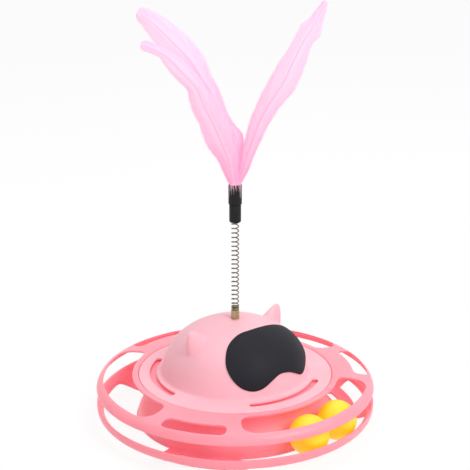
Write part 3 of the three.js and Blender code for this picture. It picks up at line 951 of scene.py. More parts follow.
@dataclass(frozen=True)
class BallTrack:
    """The two pink mouldings that the balls run between.

    Attributes:
        rim: outside radius of both rims; not used.
        wall: wall of the mouldings.
        path: radius of the middle of the groove.
        ball_height: height of the balls' centres.
        bowl: radius of the bowl under a ball.
        floor: top of the floor.
        hub_base: radius of the foot of the hub wall.
        hub_top: radius of its top.
        panel: azimuth of the middle of the first solid panel.
        panel_half: half width of a panel's cell.
        window_half: half width of a window's cell.
        hub_curve: height over which the hub wall leans inward.
        deck_top: top of the deck.
        boss: outside radius of the boss that holds the bush.
        bush_bore: radius of its bore.
        collar: inside radius of the collar round the brim.
        screw_path: radius of the screws' circle.
        screw_offset: degrees from a panel's middle to a screw.
        bowl_edge: radius where the bowl ends and its straight lip starts.
        lip_slope: rise of that lip for each millimetre outward.
        under_reach: distance outward from the path over which the bowl's underside curves.
        seam: radius between the lower moulding's inner and outer cells.
        cover_seam: the same for the upper one.
        shelf_faces: heights of the screw shelf's two faces.
        rib_size: width and height of a rib.
        rib_middle: height of a rib's middle.
        repeats: how often panels, windows and screws repeat round Z.
    """

    rim: float = 125.0
    wall: float = 1.8
    path: float = 103.0
    ball_height: float = 20.7
    bowl: float = 17.9
    floor: float = 3.1
    hub_base: float = 88.6
    hub_top: float = 77.8
    hub_curve: float = 29.0
    deck_top: float = 40.6
    boss: float = 9.0
    bush_bore: float = 6.5
    collar: float = 87.4
    panel: float = -107.5
    panel_half: float = 17.5
    window_half: float = 42.5
    screw_path: float = 67.0
    screw_offset: float = 38.0
    bowl_edge: float = 119.8
    lip_slope: float = 1.18
    under_reach: float = 17.6
    seam: float = 104.5
    cover_seam: float = 105.0
    shelf_faces: Flat = (30.0, 28.2)
    rib_size: Flat = (1.6, 7.0)
    rib_middle: float = 35.5
    repeats: int = 3

    def bowl_faces(self, radius: float) -> Flat:
        """Gives the heights of the lower moulding's two faces at a radius in the groove.

        Args:
            radius: radius from Z.

        Returns:
            Heights of the upper and the lower face.
        """
        centre = self.floor + self.bowl
        out = max(0.0, radius - self.path)
        curved = min(out, self.bowl_edge - self.path)
        top = centre - math.sqrt(self.bowl ** 2 - curved ** 2)
        if radius > self.bowl_edge:
            top += (radius - self.bowl_edge) * self.lip_slope
        under = centre - math.sqrt((self.bowl + self.wall) ** 2
                                   - min(out, self.under_reach) ** 2)
        return top, max(self.floor - self.wall, under)

    def hub_rows(self) -> list[Pair]:
        """Gives the rows up the hub wall, from its foot to its top.

        Returns:
            Pairs of outside and inside points.
        """
        def wall_point(rise: float) -> Flat:
            """Gives the outside of the hub wall at a height over the floor.

            Args:
                rise: that height.

            Returns:
                Radius and height.
            """
            share = min(1.0, rise / self.hub_curve)
            lean = (self.hub_base - self.hub_top) * (1 + math.cos(math.pi * share)) / 2
            return self.hub_top + lean, self.floor + rise

        rows: list[Pair] = [((self.hub_base, self.floor),
                             (self.hub_base - self.wall, self.floor - self.wall))]
        top = self.deck_top - self.wall - 0.3 - self.floor
        for rise in (0.9, *spaced(3.0, top - 0.8, 12), top):
            radius, z = wall_point(rise)
            before, after = wall_point(max(0.0, rise - 0.5)), wall_point(rise + 0.5)
            run = Vector((after[0] - before[0], after[1] - before[1])).normalized()
            back = (radius - run.y * self.wall, z + run.x * self.wall)
            rows.append(((radius, z), (back[0], z if rise == top else back[1])))
        return rows

    def lower(self, material: Material) -> None:
        """Models the lower moulding: rim, bowl, floor and hub wall, with the screw shelf.

        Args:
            material: its finish.
        """
        inner_radii = spaced(self.hub_base + 0.4, self.seam, 5)
        outer_radii = spaced(self.seam, 120.6, 5)
        cells = (
            Cell(self.panel, self.panel_half, tuple(inner_radii),
                 Opening(93.5, 99.5, 12.0, 2.5, 2.5)),
            Cell(self.panel, self.panel_half, tuple(outer_radii),
                 Opening(110.5, 119.5, 14.0, 3.5, 3.5)),
            Cell(self.panel + 60, self.window_half, tuple(inner_radii + outer_radii[1:]),
                 Opening(89.6, 119.0, 39.7, 4.0, 12.0, 3)),
        )
        rim_rows = (
            ((121.2, 16.6), (122.0, 9.9)), ((121.8, 17.3), (123.4, 10.9)),
            ((122.4, 18.0), (124.4, 12.4)), ((122.9, 18.5), (124.95, 14.6)),
            ((123.15, 18.75), (125.0, 17.0)), ((123.3, 18.9), (125.0, 18.6)),
            ((123.6, 18.9), (124.9, 18.9)),
        )
        ring = PiercedRing(cells, self.repeats, 2.5, self.bowl_faces, tuple(self.hub_rows()),
                           rim_rows)
        Bench.finish(Bench.join([ring.build(), self.shelf()]), "lower_track_moulding",
                     Body.BASE, Slot.TRACK, material, ["lower_track"])

    def shelf(self) -> Piece:
        """Models the shelf inside the hub that the screws go through.

        Returns:
            The shelf.
        """
        hole = Opening(self.screw_path - 1.75, self.screw_path + 1.75,
                       math.degrees(1.75 / self.screw_path), 1.6, 1.6)
        azimuth = self.panel + self.screw_offset
        radii = tuple(spaced(self.screw_path - 5, self.screw_path + 5, 5))
        cells = (Cell(azimuth, 5.0, radii, hole), Cell(azimuth + 60, 55.0, radii))
        top, under = self.shelf_faces
        inward, outward = (tuple(((edge, top), (edge, under)) for edge in edges)
                           for edges in ((60.4, 60.0), (76.3, 76.9)))
        return PiercedRing(cells, self.repeats, 2.0, lambda radius: self.shelf_faces, inward,
                           outward, 0.3).build()

    def cover_faces(self, radius: float) -> Flat:
        """Gives the heights of the upper moulding's two faces at a radius in its cover.

        Args:
            radius: radius from Z.

        Returns:
            Heights of the upper and the lower face.
        """
        line = [(91.0, 43.6), (94.7, 43.3), (100.0, 42.85), (105.7, 42.15), (110.0, 41.6),
                (113.7, 41.1), (116.5, 40.7), (118.7, 40.2), (120.3, 39.55), (121.6, 38.8)]
        under = [(91.0, 41.8), (94.7, 41.5), (100.0, 41.0), (105.7, 40.3), (110.0, 39.75),
                 (113.7, 39.2), (116.5, 38.8), (118.7, 38.2), (120.3, 37.3), (121.6, 36.2)]
        return broken(line, radius), broken(under, radius)

    def upper(self, material: Material) -> None:
        """Models the upper moulding: rolled rim, pierced cover, collar, deck, boss and ribs.

        Args:
            material: its finish.
        """
        inner_radii = spaced(91.6, self.cover_seam, 4)
        outer_radii = spaced(self.cover_seam, 121.3, 5)
        cells = (
            Cell(self.panel, self.panel_half, tuple(inner_radii)),
            Cell(self.panel, self.panel_half, tuple(outer_radii),
                 Opening(107.0, 120.3, 14.0, 5.0, 5.0)),
            Cell(self.panel + 60, self.window_half, tuple(inner_radii + outer_radii[1:]),
                 Opening(92.7, 118.7, 39.7, 8.0, 12.0, 3)),
        )
        rim_rows = (
            ((122.3, 38.1), (121.9, 35.7)), ((123.3, 36.95), (122.35, 34.9)),
            ((124.1, 35.5), (122.7, 34.2)), ((124.6, 34.1), (122.95, 33.4)),
            ((124.88, 32.9), (123.1, 32.7)), ((124.95, 32.3), (123.2, 32.2)),
            ((124.85, 32.0), (123.4, 32.0)),
        )
        collar, wall, deck = self.collar, self.wall, self.deck_top
        collar_rows = (
            ((90.2, 43.62), (90.3, 41.75)), ((88.9, 43.6), (89.3, 41.5)),
            ((88.1, 43.52), (89.2, 41.2)), ((87.6, 43.3), (89.2, 40.9)),
            ((collar, 42.9), (89.2, 40.6)), ((collar, 41.8), (89.2, 39.8)),
            ((collar, 40.9), (89.2, 39.1)), ((collar - 0.1, deck), (89.1, deck - wall)),
            ((collar - 0.8, deck), (88.3, deck - wall)),
        )
        deck_rows = tuple(((radius, deck), (radius, deck - wall))
                          for radius in spaced(80.0, self.boss + 1, 7))
        boss_rows = (
            ((self.bush_bore + 0.6, deck), (self.boss + 0.3, deck - wall - 0.1)),
            ((self.bush_bore, deck - 0.1), (self.boss, deck - wall - 0.5)),
            ((self.bush_bore, deck - 1.0), (self.boss, deck - wall - 1.5)),
            ((self.bush_bore, 34.0), (self.boss, 34.0)),
            ((self.bush_bore, 28.6), (self.boss, 28.6)),
            ((self.bush_bore + 0.2, 28.0), (self.boss - 0.2, 28.0)),
        )
        ring = PiercedRing(cells, self.repeats, 2.5, self.cover_faces,
                           collar_rows + deck_rows + boss_rows, rim_rows)
        parts = [ring.build(), *self.ribs(), *self.posts()]
        Bench.finish(Bench.join(parts), "upper_track_moulding", Body.BASE, Slot.TRACK,
                     material, ["upper_track"])

    def ribs(self) -> list[Piece]:
        """Models the six ribs under the deck, between the boss and the screw posts.

        Returns:
            The ribs.
        """
        ribs = []
        start, end = self.boss - 0.5, self.screw_path - 3.0
        width, depth = self.rib_size
        for k in range(2 * self.repeats):
            Bench.clear()
            bpy.ops.mesh.primitive_cube_add(size=1)
            rib = bpy.context.object
            rib.data.transform(Matrix.Diagonal((end - start, width, depth, 1.0)))
            Bench.move(rib, ((start + end) / 2, 0, self.rib_middle))
            Bench.edit(rib, lambda place: place.z < 33 and place.x > 40)
            bpy.ops.transform.translate(value=(0, 0, 2.5))
            Bench.leave()
            Bench.modify(rib, "BEVEL", width=0.4, segments=3)
            Bench.turn(rib, self.panel + self.screw_offset + 60 * k)
            ribs.append(rib)
        return ribs

    def posts(self) -> list[Piece]:
        """Models the three screw posts under the deck.

        Returns:
            The posts.
        """
        posts = []
        for k in range(self.repeats):
            post = turned([(2.0, 33.0), (2.0, 30.5), (2.2, 30.3), (3.4, 30.3), (3.8, 30.6),
                           (3.8, 37.5), (4.6, 38.9), (4.6, 39.4)], 24)
            Bench.move(post, polar(self.screw_path, self.panel + self.screw_offset + 120 * k))
            posts.append(post)
        return posts


@dataclass(frozen=True)
class CatDome:
    """The pale dome with its brim and ears.

    Attributes:
        radius: radius of the dome's ellipse.
        half_height: half height of that ellipse.
        centre: height of its centre.
        wall: wall of the dome.
        brim: outside radius of the brim.
        facing: azimuth that the cat faces.
        ear_root: radius of the middle of an ear.
        ear_along: half width of an ear's root.
        ear_thick: half thickness of an ear's root.
        ear_reach: height of an ear.
        ear_lean: 0 stands square to the dome, 1 stands upright.
        ear_blunt: roundness of an ear's tip.
        fullness: how far the shoulder stands outside the ellipse, and the foot inside it.
        even: height where the side crosses the ellipse.
        crown_edge: height above which the dome is the ellipse.
        crown: height of the flat crown under the socket.
        ceiling: height of the crown's underside.
        ear_skirt: where the blend round an ear ends, in shares of its root.
        ear_fillet: softness of the fold between an ear and the dome.
        outer_face: share of the ellipse past which a place is on the dome's outside.
    """

    radius: float = 69.9
    half_height: float = 63.6
    centre: float = 31.3
    wall: float = 2.0
    brim: float = 87.0
    facing: float = -48.0
    crown: float = 93.87
    ceiling: float = 90.87
    ear_root: float = 45.3
    ear_along: float = 11.8
    ear_thick: float = 6.4
    ear_reach: float = 15.51
    ear_lean: float = 0.25
    ear_blunt: float = 0.6
    fullness: float = 1.7
    even: float = 61.5
    crown_edge: float = 92.0
    ear_skirt: float = 1.6
    ear_fillet: float = 0.0015
    outer_face: float = 0.988

    def brim_faces(self, radius: float) -> Flat:
        """Gives the heights of the brim's two faces."""
        top = broken([(70.3, 44.12), (self.brim, 43.2)], radius)
        return top, broken([(70.3, 42.15), (self.brim, 41.4)], radius)

    def side_rows(self) -> list[Pair]:
        """Gives the rows from the foot of the dome to its crown.

        Returns:
            Pairs of outside and inside points.
        """
        rows: list[Pair] = [
            ((69.3, 44.2), (69.3, 42.15)), ((68.1, 44.4), (68.2, 42.15)),
            ((66.95, 45.0), (66.9, 42.15)), ((66.35, 46.3), (66.2, 42.3)),
            ((65.75, 48.4), (66.2, 43.3)),
        ]
        for angle in spaced(19.0, 81.5, 11):
            lift, reach = math.sin(math.radians(angle)), math.cos(math.radians(angle))
            height = self.centre + self.half_height * lift
            rows.append((
                (self.radius * reach + self.fuller(height), height),
                ((self.radius - self.wall) * reach + min(0.0, self.fuller(height)),
                 self.centre + (self.half_height - self.wall) * lift)))
        rows += [((8.0, 94.33), (8.0, 91.3)), ((6.6, 94.2), (6.6, 90.9)),
                 ((6.0, self.crown + 0.05), (6.0, self.ceiling)),
                 ((4.8, self.crown), (4.8, self.ceiling)),
                 ((3.2, self.crown), (3.2, self.ceiling)),
                 ((2.8, self.crown - 0.1), (2.8, self.ceiling + 0.1))]
        return rows

    def fuller(self, z: float) -> float:
        """Gives how far the dome's side stands outside its ellipse at a height."""
        share = (z - self.even) / (self.crown_edge - self.even)
        return self.fullness * math.sin(math.pi * share) if abs(share) < 1 else 0.0

    def build(self, material: Material) -> None:
        """Models the dome with its brim and ears in one moulding.

        Args:
            material: its finish.
        """
        radii = tuple(spaced(70.3, 79.5, 5))
        cells = (Cell(self.facing, 37.5, radii, Opening(71.0, 77.2, 33.0, 3.0, 3.0)),
                 Cell(self.facing + 60, 22.5, radii))
        edge_rows = tuple(
            ((radius, self.brim_faces(radius)[0]), (radius, self.brim_faces(radius)[1]))
            for radius in (83.0, 85.8)) + (
            ((86.6, 43.2), (86.6, 41.42)), ((86.95, 42.95), (86.95, 41.6)))
        ring = PiercedRing(cells, 3, 5.0, self.brim_faces, tuple(self.side_rows()), edge_rows,
                           0.5, 2)
        piece = ring.build()
        for side in (-1, 1):
            self.raise_ear(piece, self.facing + 90 * side)
        Bench.finish(piece, "cat_dome_moulding", Body.TURNTABLE, Slot.DOME, material,
                     ["cat_dome"], 60)

    def height(self, radius: float) -> float:
        """Gives the height of the dome's outside at a radius."""
        return self.centre + self.half_height * math.sqrt(1 - (radius / self.radius) ** 2)

    def raise_ear(self, piece: Piece, azimuth: float) -> None:
        """Draws an ear up out of the dome's outside.

        Args:
            piece: the dome's mesh.
            azimuth: where the ear stands.
        """
        root = polar(self.ear_root, azimuth, self.height(self.ear_root))
        normal = Vector((root.x / self.radius ** 2, root.y / self.radius ** 2,
                         (root.z - self.centre) / self.half_height ** 2)).normalized()
        axis = normal.lerp(Vector((0, 0, 1)), self.ear_lean).normalized()
        across = polar(1, azimuth + 90)
        along = across.cross(axis).normalized()

        def share_of(place: Vector) -> float:
            """Gives how far a place is from the ear's middle: 1 is the edge of its root."""
            away = place - root
            return math.hypot(away.dot(along) / self.ear_along, away.dot(across) / self.ear_thick)

        def outside(place: Vector) -> bool:
            """Says whether a place is on the outer face of the dome.

            Args:
                place: the place.

            Returns:
                The answer.
            """
            flat = place.xy.length / self.radius
            rise = (place.z - self.centre) / self.half_height
            return math.hypot(flat, rise) > self.outer_face

        Bench.edit(piece, lambda place: share_of(place) < self.ear_skirt + 0.1
                   and outside(place))
        bpy.ops.mesh.subdivide(number_cuts=2)
        Bench.leave()
        places = Bench.places(piece)
        for place in places:
            here = Vector(place)
            share = share_of(here)
            if share > self.ear_skirt or not outside(here):
                continue
            blunt = self.ear_blunt
            rise = ((math.hypot(1, blunt) - math.hypot(share, blunt))
                    / (math.hypot(1, blunt) - blunt))
            rise = 0.5 * (rise + math.sqrt(rise * rise + self.ear_fillet))
            fade = min(1.0, max(0.0, (self.ear_skirt - share) / 0.4))
            place[:] = here + axis * (self.ear_reach * rise * fade)
        Bench.set_places(piece, places)


@dataclass(frozen=True)
class CoatPatch:
    """The charcoal soft-touch patch that lies on the dome.

    Attributes:
        dome: the dome that it lies on.
        tilt: tilt of the plane that its outline is drawn in, degrees.
        gap: gap to the dome.
        thick: thickness.
        middle: place in that plane that its loops shrink to.
        outline: outline points in that plane, across and up, anticlockwise from the notch.
    """

    dome: CatDome
    tilt: float = 40.0
    gap: float = 0.3
    thick: float = 0.9
    middle: Flat = (2.0, 31.0)
    outline: tuple[Flat, ...] = (
        (-4, 7), (6, 6), (14, 3.3), (22, 0.6), (29, 2.2), (38.5, 10.5), (49, 22.5),
        (47.3, 35.5), (40, 48.5), (24, 53), (-3, 54), (-17.5, 54), (-30.5, 48.5), (-39, 38.5),
        (-43, 28.5), (-43.2, 18), (-39.5, 8.2), (-32, 1.8), (-23, 0.6), (-13.5, 3.8))

    def smooth_outline(self, count: int) -> list[Flat]:
        """Draws the outline as a smooth closed curve through its points.

        Args:
            count: number of points of the curve.

        Returns:
            The curve's points.
        """
        total = len(self.outline)
        curve = []
        for k in range(count):
            at = k * total / count
            number, share = int(at), at - int(at)
            p0, p1, p2, p3 = (Vector(self.outline[(number + shift) % total])
                              for shift in (-1, 0, 1, 2))
            point = 0.5 * (2 * p1 + (p2 - p0) * share
                           + (2 * p0 - 5 * p1 + 4 * p2 - p3) * share ** 2
                           + (3 * p1 - 3 * p2 + p3 - p0) * share ** 3)
            curve.append((point.x, point.y))
        return curve

    def on_dome(self, spot: Flat, lift: float) -> Vector:
        """Projects a point of the outline's plane on the dome.

        Args:
            spot: place across and up in the plane.
            lift: distance from the dome's outside.

        Returns:
            The point.
        """
        forward = polar(math.cos(math.radians(self.tilt)), self.dome.facing,
                        math.sin(math.radians(self.tilt)))
        side = polar(1, self.dome.facing + 90)
        up = forward.cross(side)
        start = side * spot[0] + up * spot[1]
        scale = Vector((1 / (self.dome.radius + lift), 1 / (self.dome.radius + lift),
                        1 / (self.dome.half_height + lift)))
        run = forward * scale
        base = (start - Vector((0, 0, self.dome.centre))) * scale
        half = base.dot(run) / run.dot(run)
        rest = (base.dot(base) - 1) / run.dot(run)
        place = start + forward * (-half + math.sqrt(max(0.0, half * half - rest)))
        return place + place.xy.to_3d().normalized() * self.dome.fuller(place.z)

    def build(self, material: Material) -> None:
        """Models the patch from its back's middle, round its edge, to its front's middle.

        Args:
            material: its finish.
        """
        curve = [Vector(spot) for spot in self.smooth_outline(96)]
        middle = Vector(self.middle)
        top = self.gap + self.thick
        steps = [(share, self.gap) for share in (0.05, 0.16, 0.3, 0.5, 0.72, 0.93)]
        steps += [(0.985, self.gap), (0.997, self.gap + 0.15), (1.0, self.gap + 0.45),
                  (0.994, top - 0.12), (0.975, top), (0.93, top + 0.05)]
        steps += [(share, top + 0.1) for share in (0.84, 0.72, 0.58, 0.44, 0.3, 0.16, 0.05)]
        piece = Bench.loops([
            [self.on_dome(middle + (spot - middle) * share, lift) for spot in curve]
            for share, lift in steps])
        Bench.activate(piece)
        bpy.ops.object.mode_set(mode="EDIT")
        bpy.ops.mesh.select_all(action="SELECT")
        bpy.ops.mesh.region_to_loop()
        bpy.ops.mesh.fill_holes(sides=0)
        Bench.leave()
        Bench.tidy(piece)
        Bench.smooth(piece, 1)
        Bench.finish(piece, "coat_patch_cover", Body.TURNTABLE, Slot.PATCH, material,
                     ["coat_patch"], 60)


@dataclass(frozen=True)
class TrackBall:
    """One of the two loose balls, moulded in two halves.

    Attributes:
        number: 1 or 2.
        azimuth: its place on the track.
        tilt: tilt of its seam about X and about Y, degrees.
        path: radius of the track's groove.
        height: height of its centre.
        radius: radius of the ball.
        groove: depth of the groove at its seam.
    """

    number: int
    azimuth: float
    tilt: Flat
    path: float
    height: float
    radius: float = 17.3
    groove: float = 0.12

    def build(self, material: Material) -> None:
        """Models the ball with the fine groove where its halves meet.

        Args:
            material: its finish.
        """
        rows = []
        for angle in (*spaced(-84, -4, 13), -1.2, -0.5, 0.5, 1.2, *spaced(4, 84, 13)):
            radius = self.radius - (self.groove if abs(angle) < 0.6 else 0.0)
            turn = math.radians(angle)
            rows.append((radius * math.cos(turn), radius * math.sin(turn)))
        piece = turned(rows, 48)
        Bench.edit(piece, lambda place: abs(place.z) > self.radius * 0.993)
        bpy.ops.mesh.poke()
        Bench.leave()
        places = Bench.places(piece)
        for place in places:
            if math.hypot(place[0], place[1]) < CLOSE:
                place[2] = math.copysign(self.radius, place[2])
        Bench.set_places(piece, places)
        Bench.smooth(piece, 1)
        Bench.turn(piece, self.tilt[1], "Y")
        Bench.turn(piece, self.tilt[0], "X")
        Bench.move(piece, polar(self.path, self.azimuth, self.height))
        name = f"ball_{self.number}"
        Bench.finish(piece, name, Body(name), Slot.BALL, material, ["track_" + name], 60)


@dataclass(frozen=True)
class FeatherWand:
    """The brass socket, the coil spring and the sleeves of the feather wand.

    Attributes:
        crown: height of the dome's crown.
        socket_top: top of the socket's shoulder.
        coil: radius of the spring's wire centre.
        wire: radius of the wire.
        spring_top: top of the spring's wire centre.
        open_coils: number of open coils.
        closed_coils: number of close coils at each end.
        closed_pitch: pitch of the close coils.
        sleeve_bottom: foot of the lower sleeve.
        sleeve_split: where the lower sleeve ends.
        sleeve_top: top of the upper sleeve.
        spring_foot: height in metres above which the spring bends; not used.
    """

    crown: float
    socket_top: float = 102.3
    coil: float = 3.05
    wire: float = 0.5
    spring_top: float = 190.5
    open_coils: int = 20
    closed_coils: int = 2
    closed_pitch: float = 1.5
    sleeve_bottom: float = 183.4
    sleeve_split: float = 199.0
    sleeve_top: float = 217.0
    spring_foot: float = 0.1026

    def socket(self, material: Material) -> None:
        """Models the brass socket with its stud, shoulder and spigot.

        Args:
            material: its finish.
        """
        base = self.crown + 0.3
        piece = turned([
            (1.9, 80.87), (2.4, 81.3), (2.4, base - 0.6), (2.4, base), (3.5, base),
            (3.7, base + 0.2), (3.7, self.socket_top - 0.5), (3.55, self.socket_top - 0.15),
            (3.2, self.socket_top), (2.2, self.socket_top), (2.0, self.socket_top + 0.2),
            (2.0, self.socket_top + 2.6), (1.8, self.socket_top + 2.9),
            (1.4, self.socket_top + 3.0)], 32)
        Bench.finish(piece, "brass_socket", Body.TURNTABLE, Slot.SOCKET, material,
                     ["wand_socket"], 30)

    def spring_line(self, steps: int) -> list[Vector]:
        """Works out the wire's route: close coils at both ends, open coils between.

        Args:
            steps: points of one turn.

        Returns:
            The points of the wire's centre.
        """
        bottom = self.socket_top + 0.3 + self.wire
        closed = self.closed_coils * self.closed_pitch
        pitch = (self.spring_top - bottom - 2 * closed) / self.open_coils
        turns = self.open_coils + 2 * self.closed_coils
        points = []
        for k in range(turns * steps + 1):
            turn = k / steps
            low = min(turn, self.closed_coils)
            middle = min(max(turn - self.closed_coils, 0), self.open_coils)
            high = max(turn - self.closed_coils - self.open_coils, 0)
            z = bottom + (low + high) * self.closed_pitch + middle * pitch
            points.append(polar(self.coil, 360 * turn, z))
        return points

    def spring(self, material: Material) -> None:
        """Models the coil spring between the turntable and the wand, and takes it off the bodies.

        Args:
            material: its finish.
        """
        line = self.spring_line(20)
        piece = tube(line, [self.wire] * len(line), 8)
        piece = Bench.finish(piece, "coil_spring", Body.TURNTABLE, Slot.SPRING, material,
                             ["wand_spring"], 60)
        piece.parent = None
        del piece["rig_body"]
        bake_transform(piece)

    def sleeves(self, material: Material) -> None:
        """Models the two black sleeves over the spring and the quills.

        Args:
            material: their finish.
        """
        low, split, top = self.sleeve_bottom, self.sleeve_split, self.sleeve_top
        lower = turned([
            (3.8, low + 0.2), (4.0, low), (4.6, low), (5.0, low + 0.4), (5.15, low + 1.1),
            (5.15, split - 0.6), (5.0, split - 0.1), (4.7, split), (3.9, split),
            (3.8, split - 0.2)], 40, closed=True)
        foot = split + 0.3
        upper = turned([
            (2.9, foot - 6), (3.3, foot - 5.6), (3.3, foot), (5.2, foot), (5.7, foot + 0.25),
            (5.85, foot + 0.8), (5.85, top - 0.9), (5.7, top - 0.35), (5.3, top),
            (4.6, top), (4.35, top - 0.3), (4.35, top - 10.6), (4.0, top - 11.0)], 40)
        for piece, place in ((lower, "lower"), (upper, "upper")):
            Bench.finish(piece, "sleeve_" + place, Body.WAND, Slot.FERRULE, material,
                         ["ferrule_" + place], 30)


def tube(line: Sequence[Vector], radii: Sequence[float], sides: int) -> Piece:
    """Models a round wire or quill along a line.

    Args:
        line: points of its centre.
        radii: its radius at each point.
        sides: vertices round it.

    Returns:
        The closed tube.
    """
    rings = []
    for number, point in enumerate(line):
        run = (line[min(number + 1, len(line) - 1)] - line[max(number - 1, 0)]).normalized()
        away = Vector((point.x, point.y, 0))
        if away.length < 1:
            away = Vector((0, 1, 0))
        away = (away - run * away.dot(run)).normalized()
        across = run.cross(away)
        rings.append([point + (away * math.cos(turn) + across * math.sin(turn)) * radii[number]
                      for turn in (2 * math.pi * k / sides for k in range(sides))])
    faces = []
    for k in range(len(rings) - 1):
        for s in range(sides):
            a, b = k * sides + s, k * sides + (s + 1) % sides
            faces.append((a, b, b + sides, a + sides))
    faces.append(tuple(reversed(range(sides))))
    faces.append(tuple(range((len(rings) - 1) * sides, len(rings) * sides)))
    piece = Bench.mesh("tube", [place for ring in rings for place in ring], faces)
    Bench.tidy(piece, 1e-5)
    return piece


def swept(across: float, share: float) -> Flat:
    """Gives the mark of a place on a feather, whose colour lags behind towards its edges."""
    return across, share - LAG * abs(2 * across - 1) ** LAG_CURVE


def mark(piece: Piece, marks: Sequence[Flat]) -> None:
    """Writes each vertex's mark to the UV map that the dye follows.

    Args:
        piece: a part of a feather.
        marks: place on the feather, across and along, of each vertex.
    """
    layers = piece.data.uv_layers
    layer = layers[0] if layers else layers.new(name=VANE)
    layer.name = VANE
    for loop in piece.data.loops:
        layer.data[loop.index].uv = marks[loop.vertex_index]


class Skein:
    """Barbs that are gathered into one mesh."""

    def __init__(self) -> None:
        """Starts without a barb."""
        self.verts: list[Vector] = []
        self.faces: list[tuple[int, ...]] = []
        self.marks: list[Flat] = []

    def add(self, line: Sequence[Vector], marks: Sequence[Flat], thick: float) -> None:
        """Adds a tapering three-sided barb.

        Args:
            line: points along it, from its root.
            marks: the mark of each point.
            thick: half of its thickness at the root.
        """
        base, last = len(self.verts), len(line) - 1
        for step, point in enumerate(line):
            half = thick * (1 - 0.8 * step / last)
            self.verts += [point + Vector((-half, 0, 0)), point + Vector((half, 0, 0)),
                           point + Vector((0, -half, half))]
            self.marks += [marks[step]] * 3
        for step in range(last):
            a = base + 3 * step
            self.faces += [(a + (k + 1) % 3, a + k, a + 3 + k, a + 3 + (k + 1) % 3)
                           for k in range(3)]
        self.faces += [(base, base + 1, base + 2),
                       (base + 3 * last + 2, base + 3 * last + 1, base + 3 * last)]

    def build(self, name: str) -> Piece:
        """Makes the object.

        Args:
            name: its name.

        Returns:
            The object.
        """
        piece = Bench.mesh(name, self.verts, self.faces)
        mark(piece, self.marks)
        Bench.tidy(piece, 1e-6)
        return piece


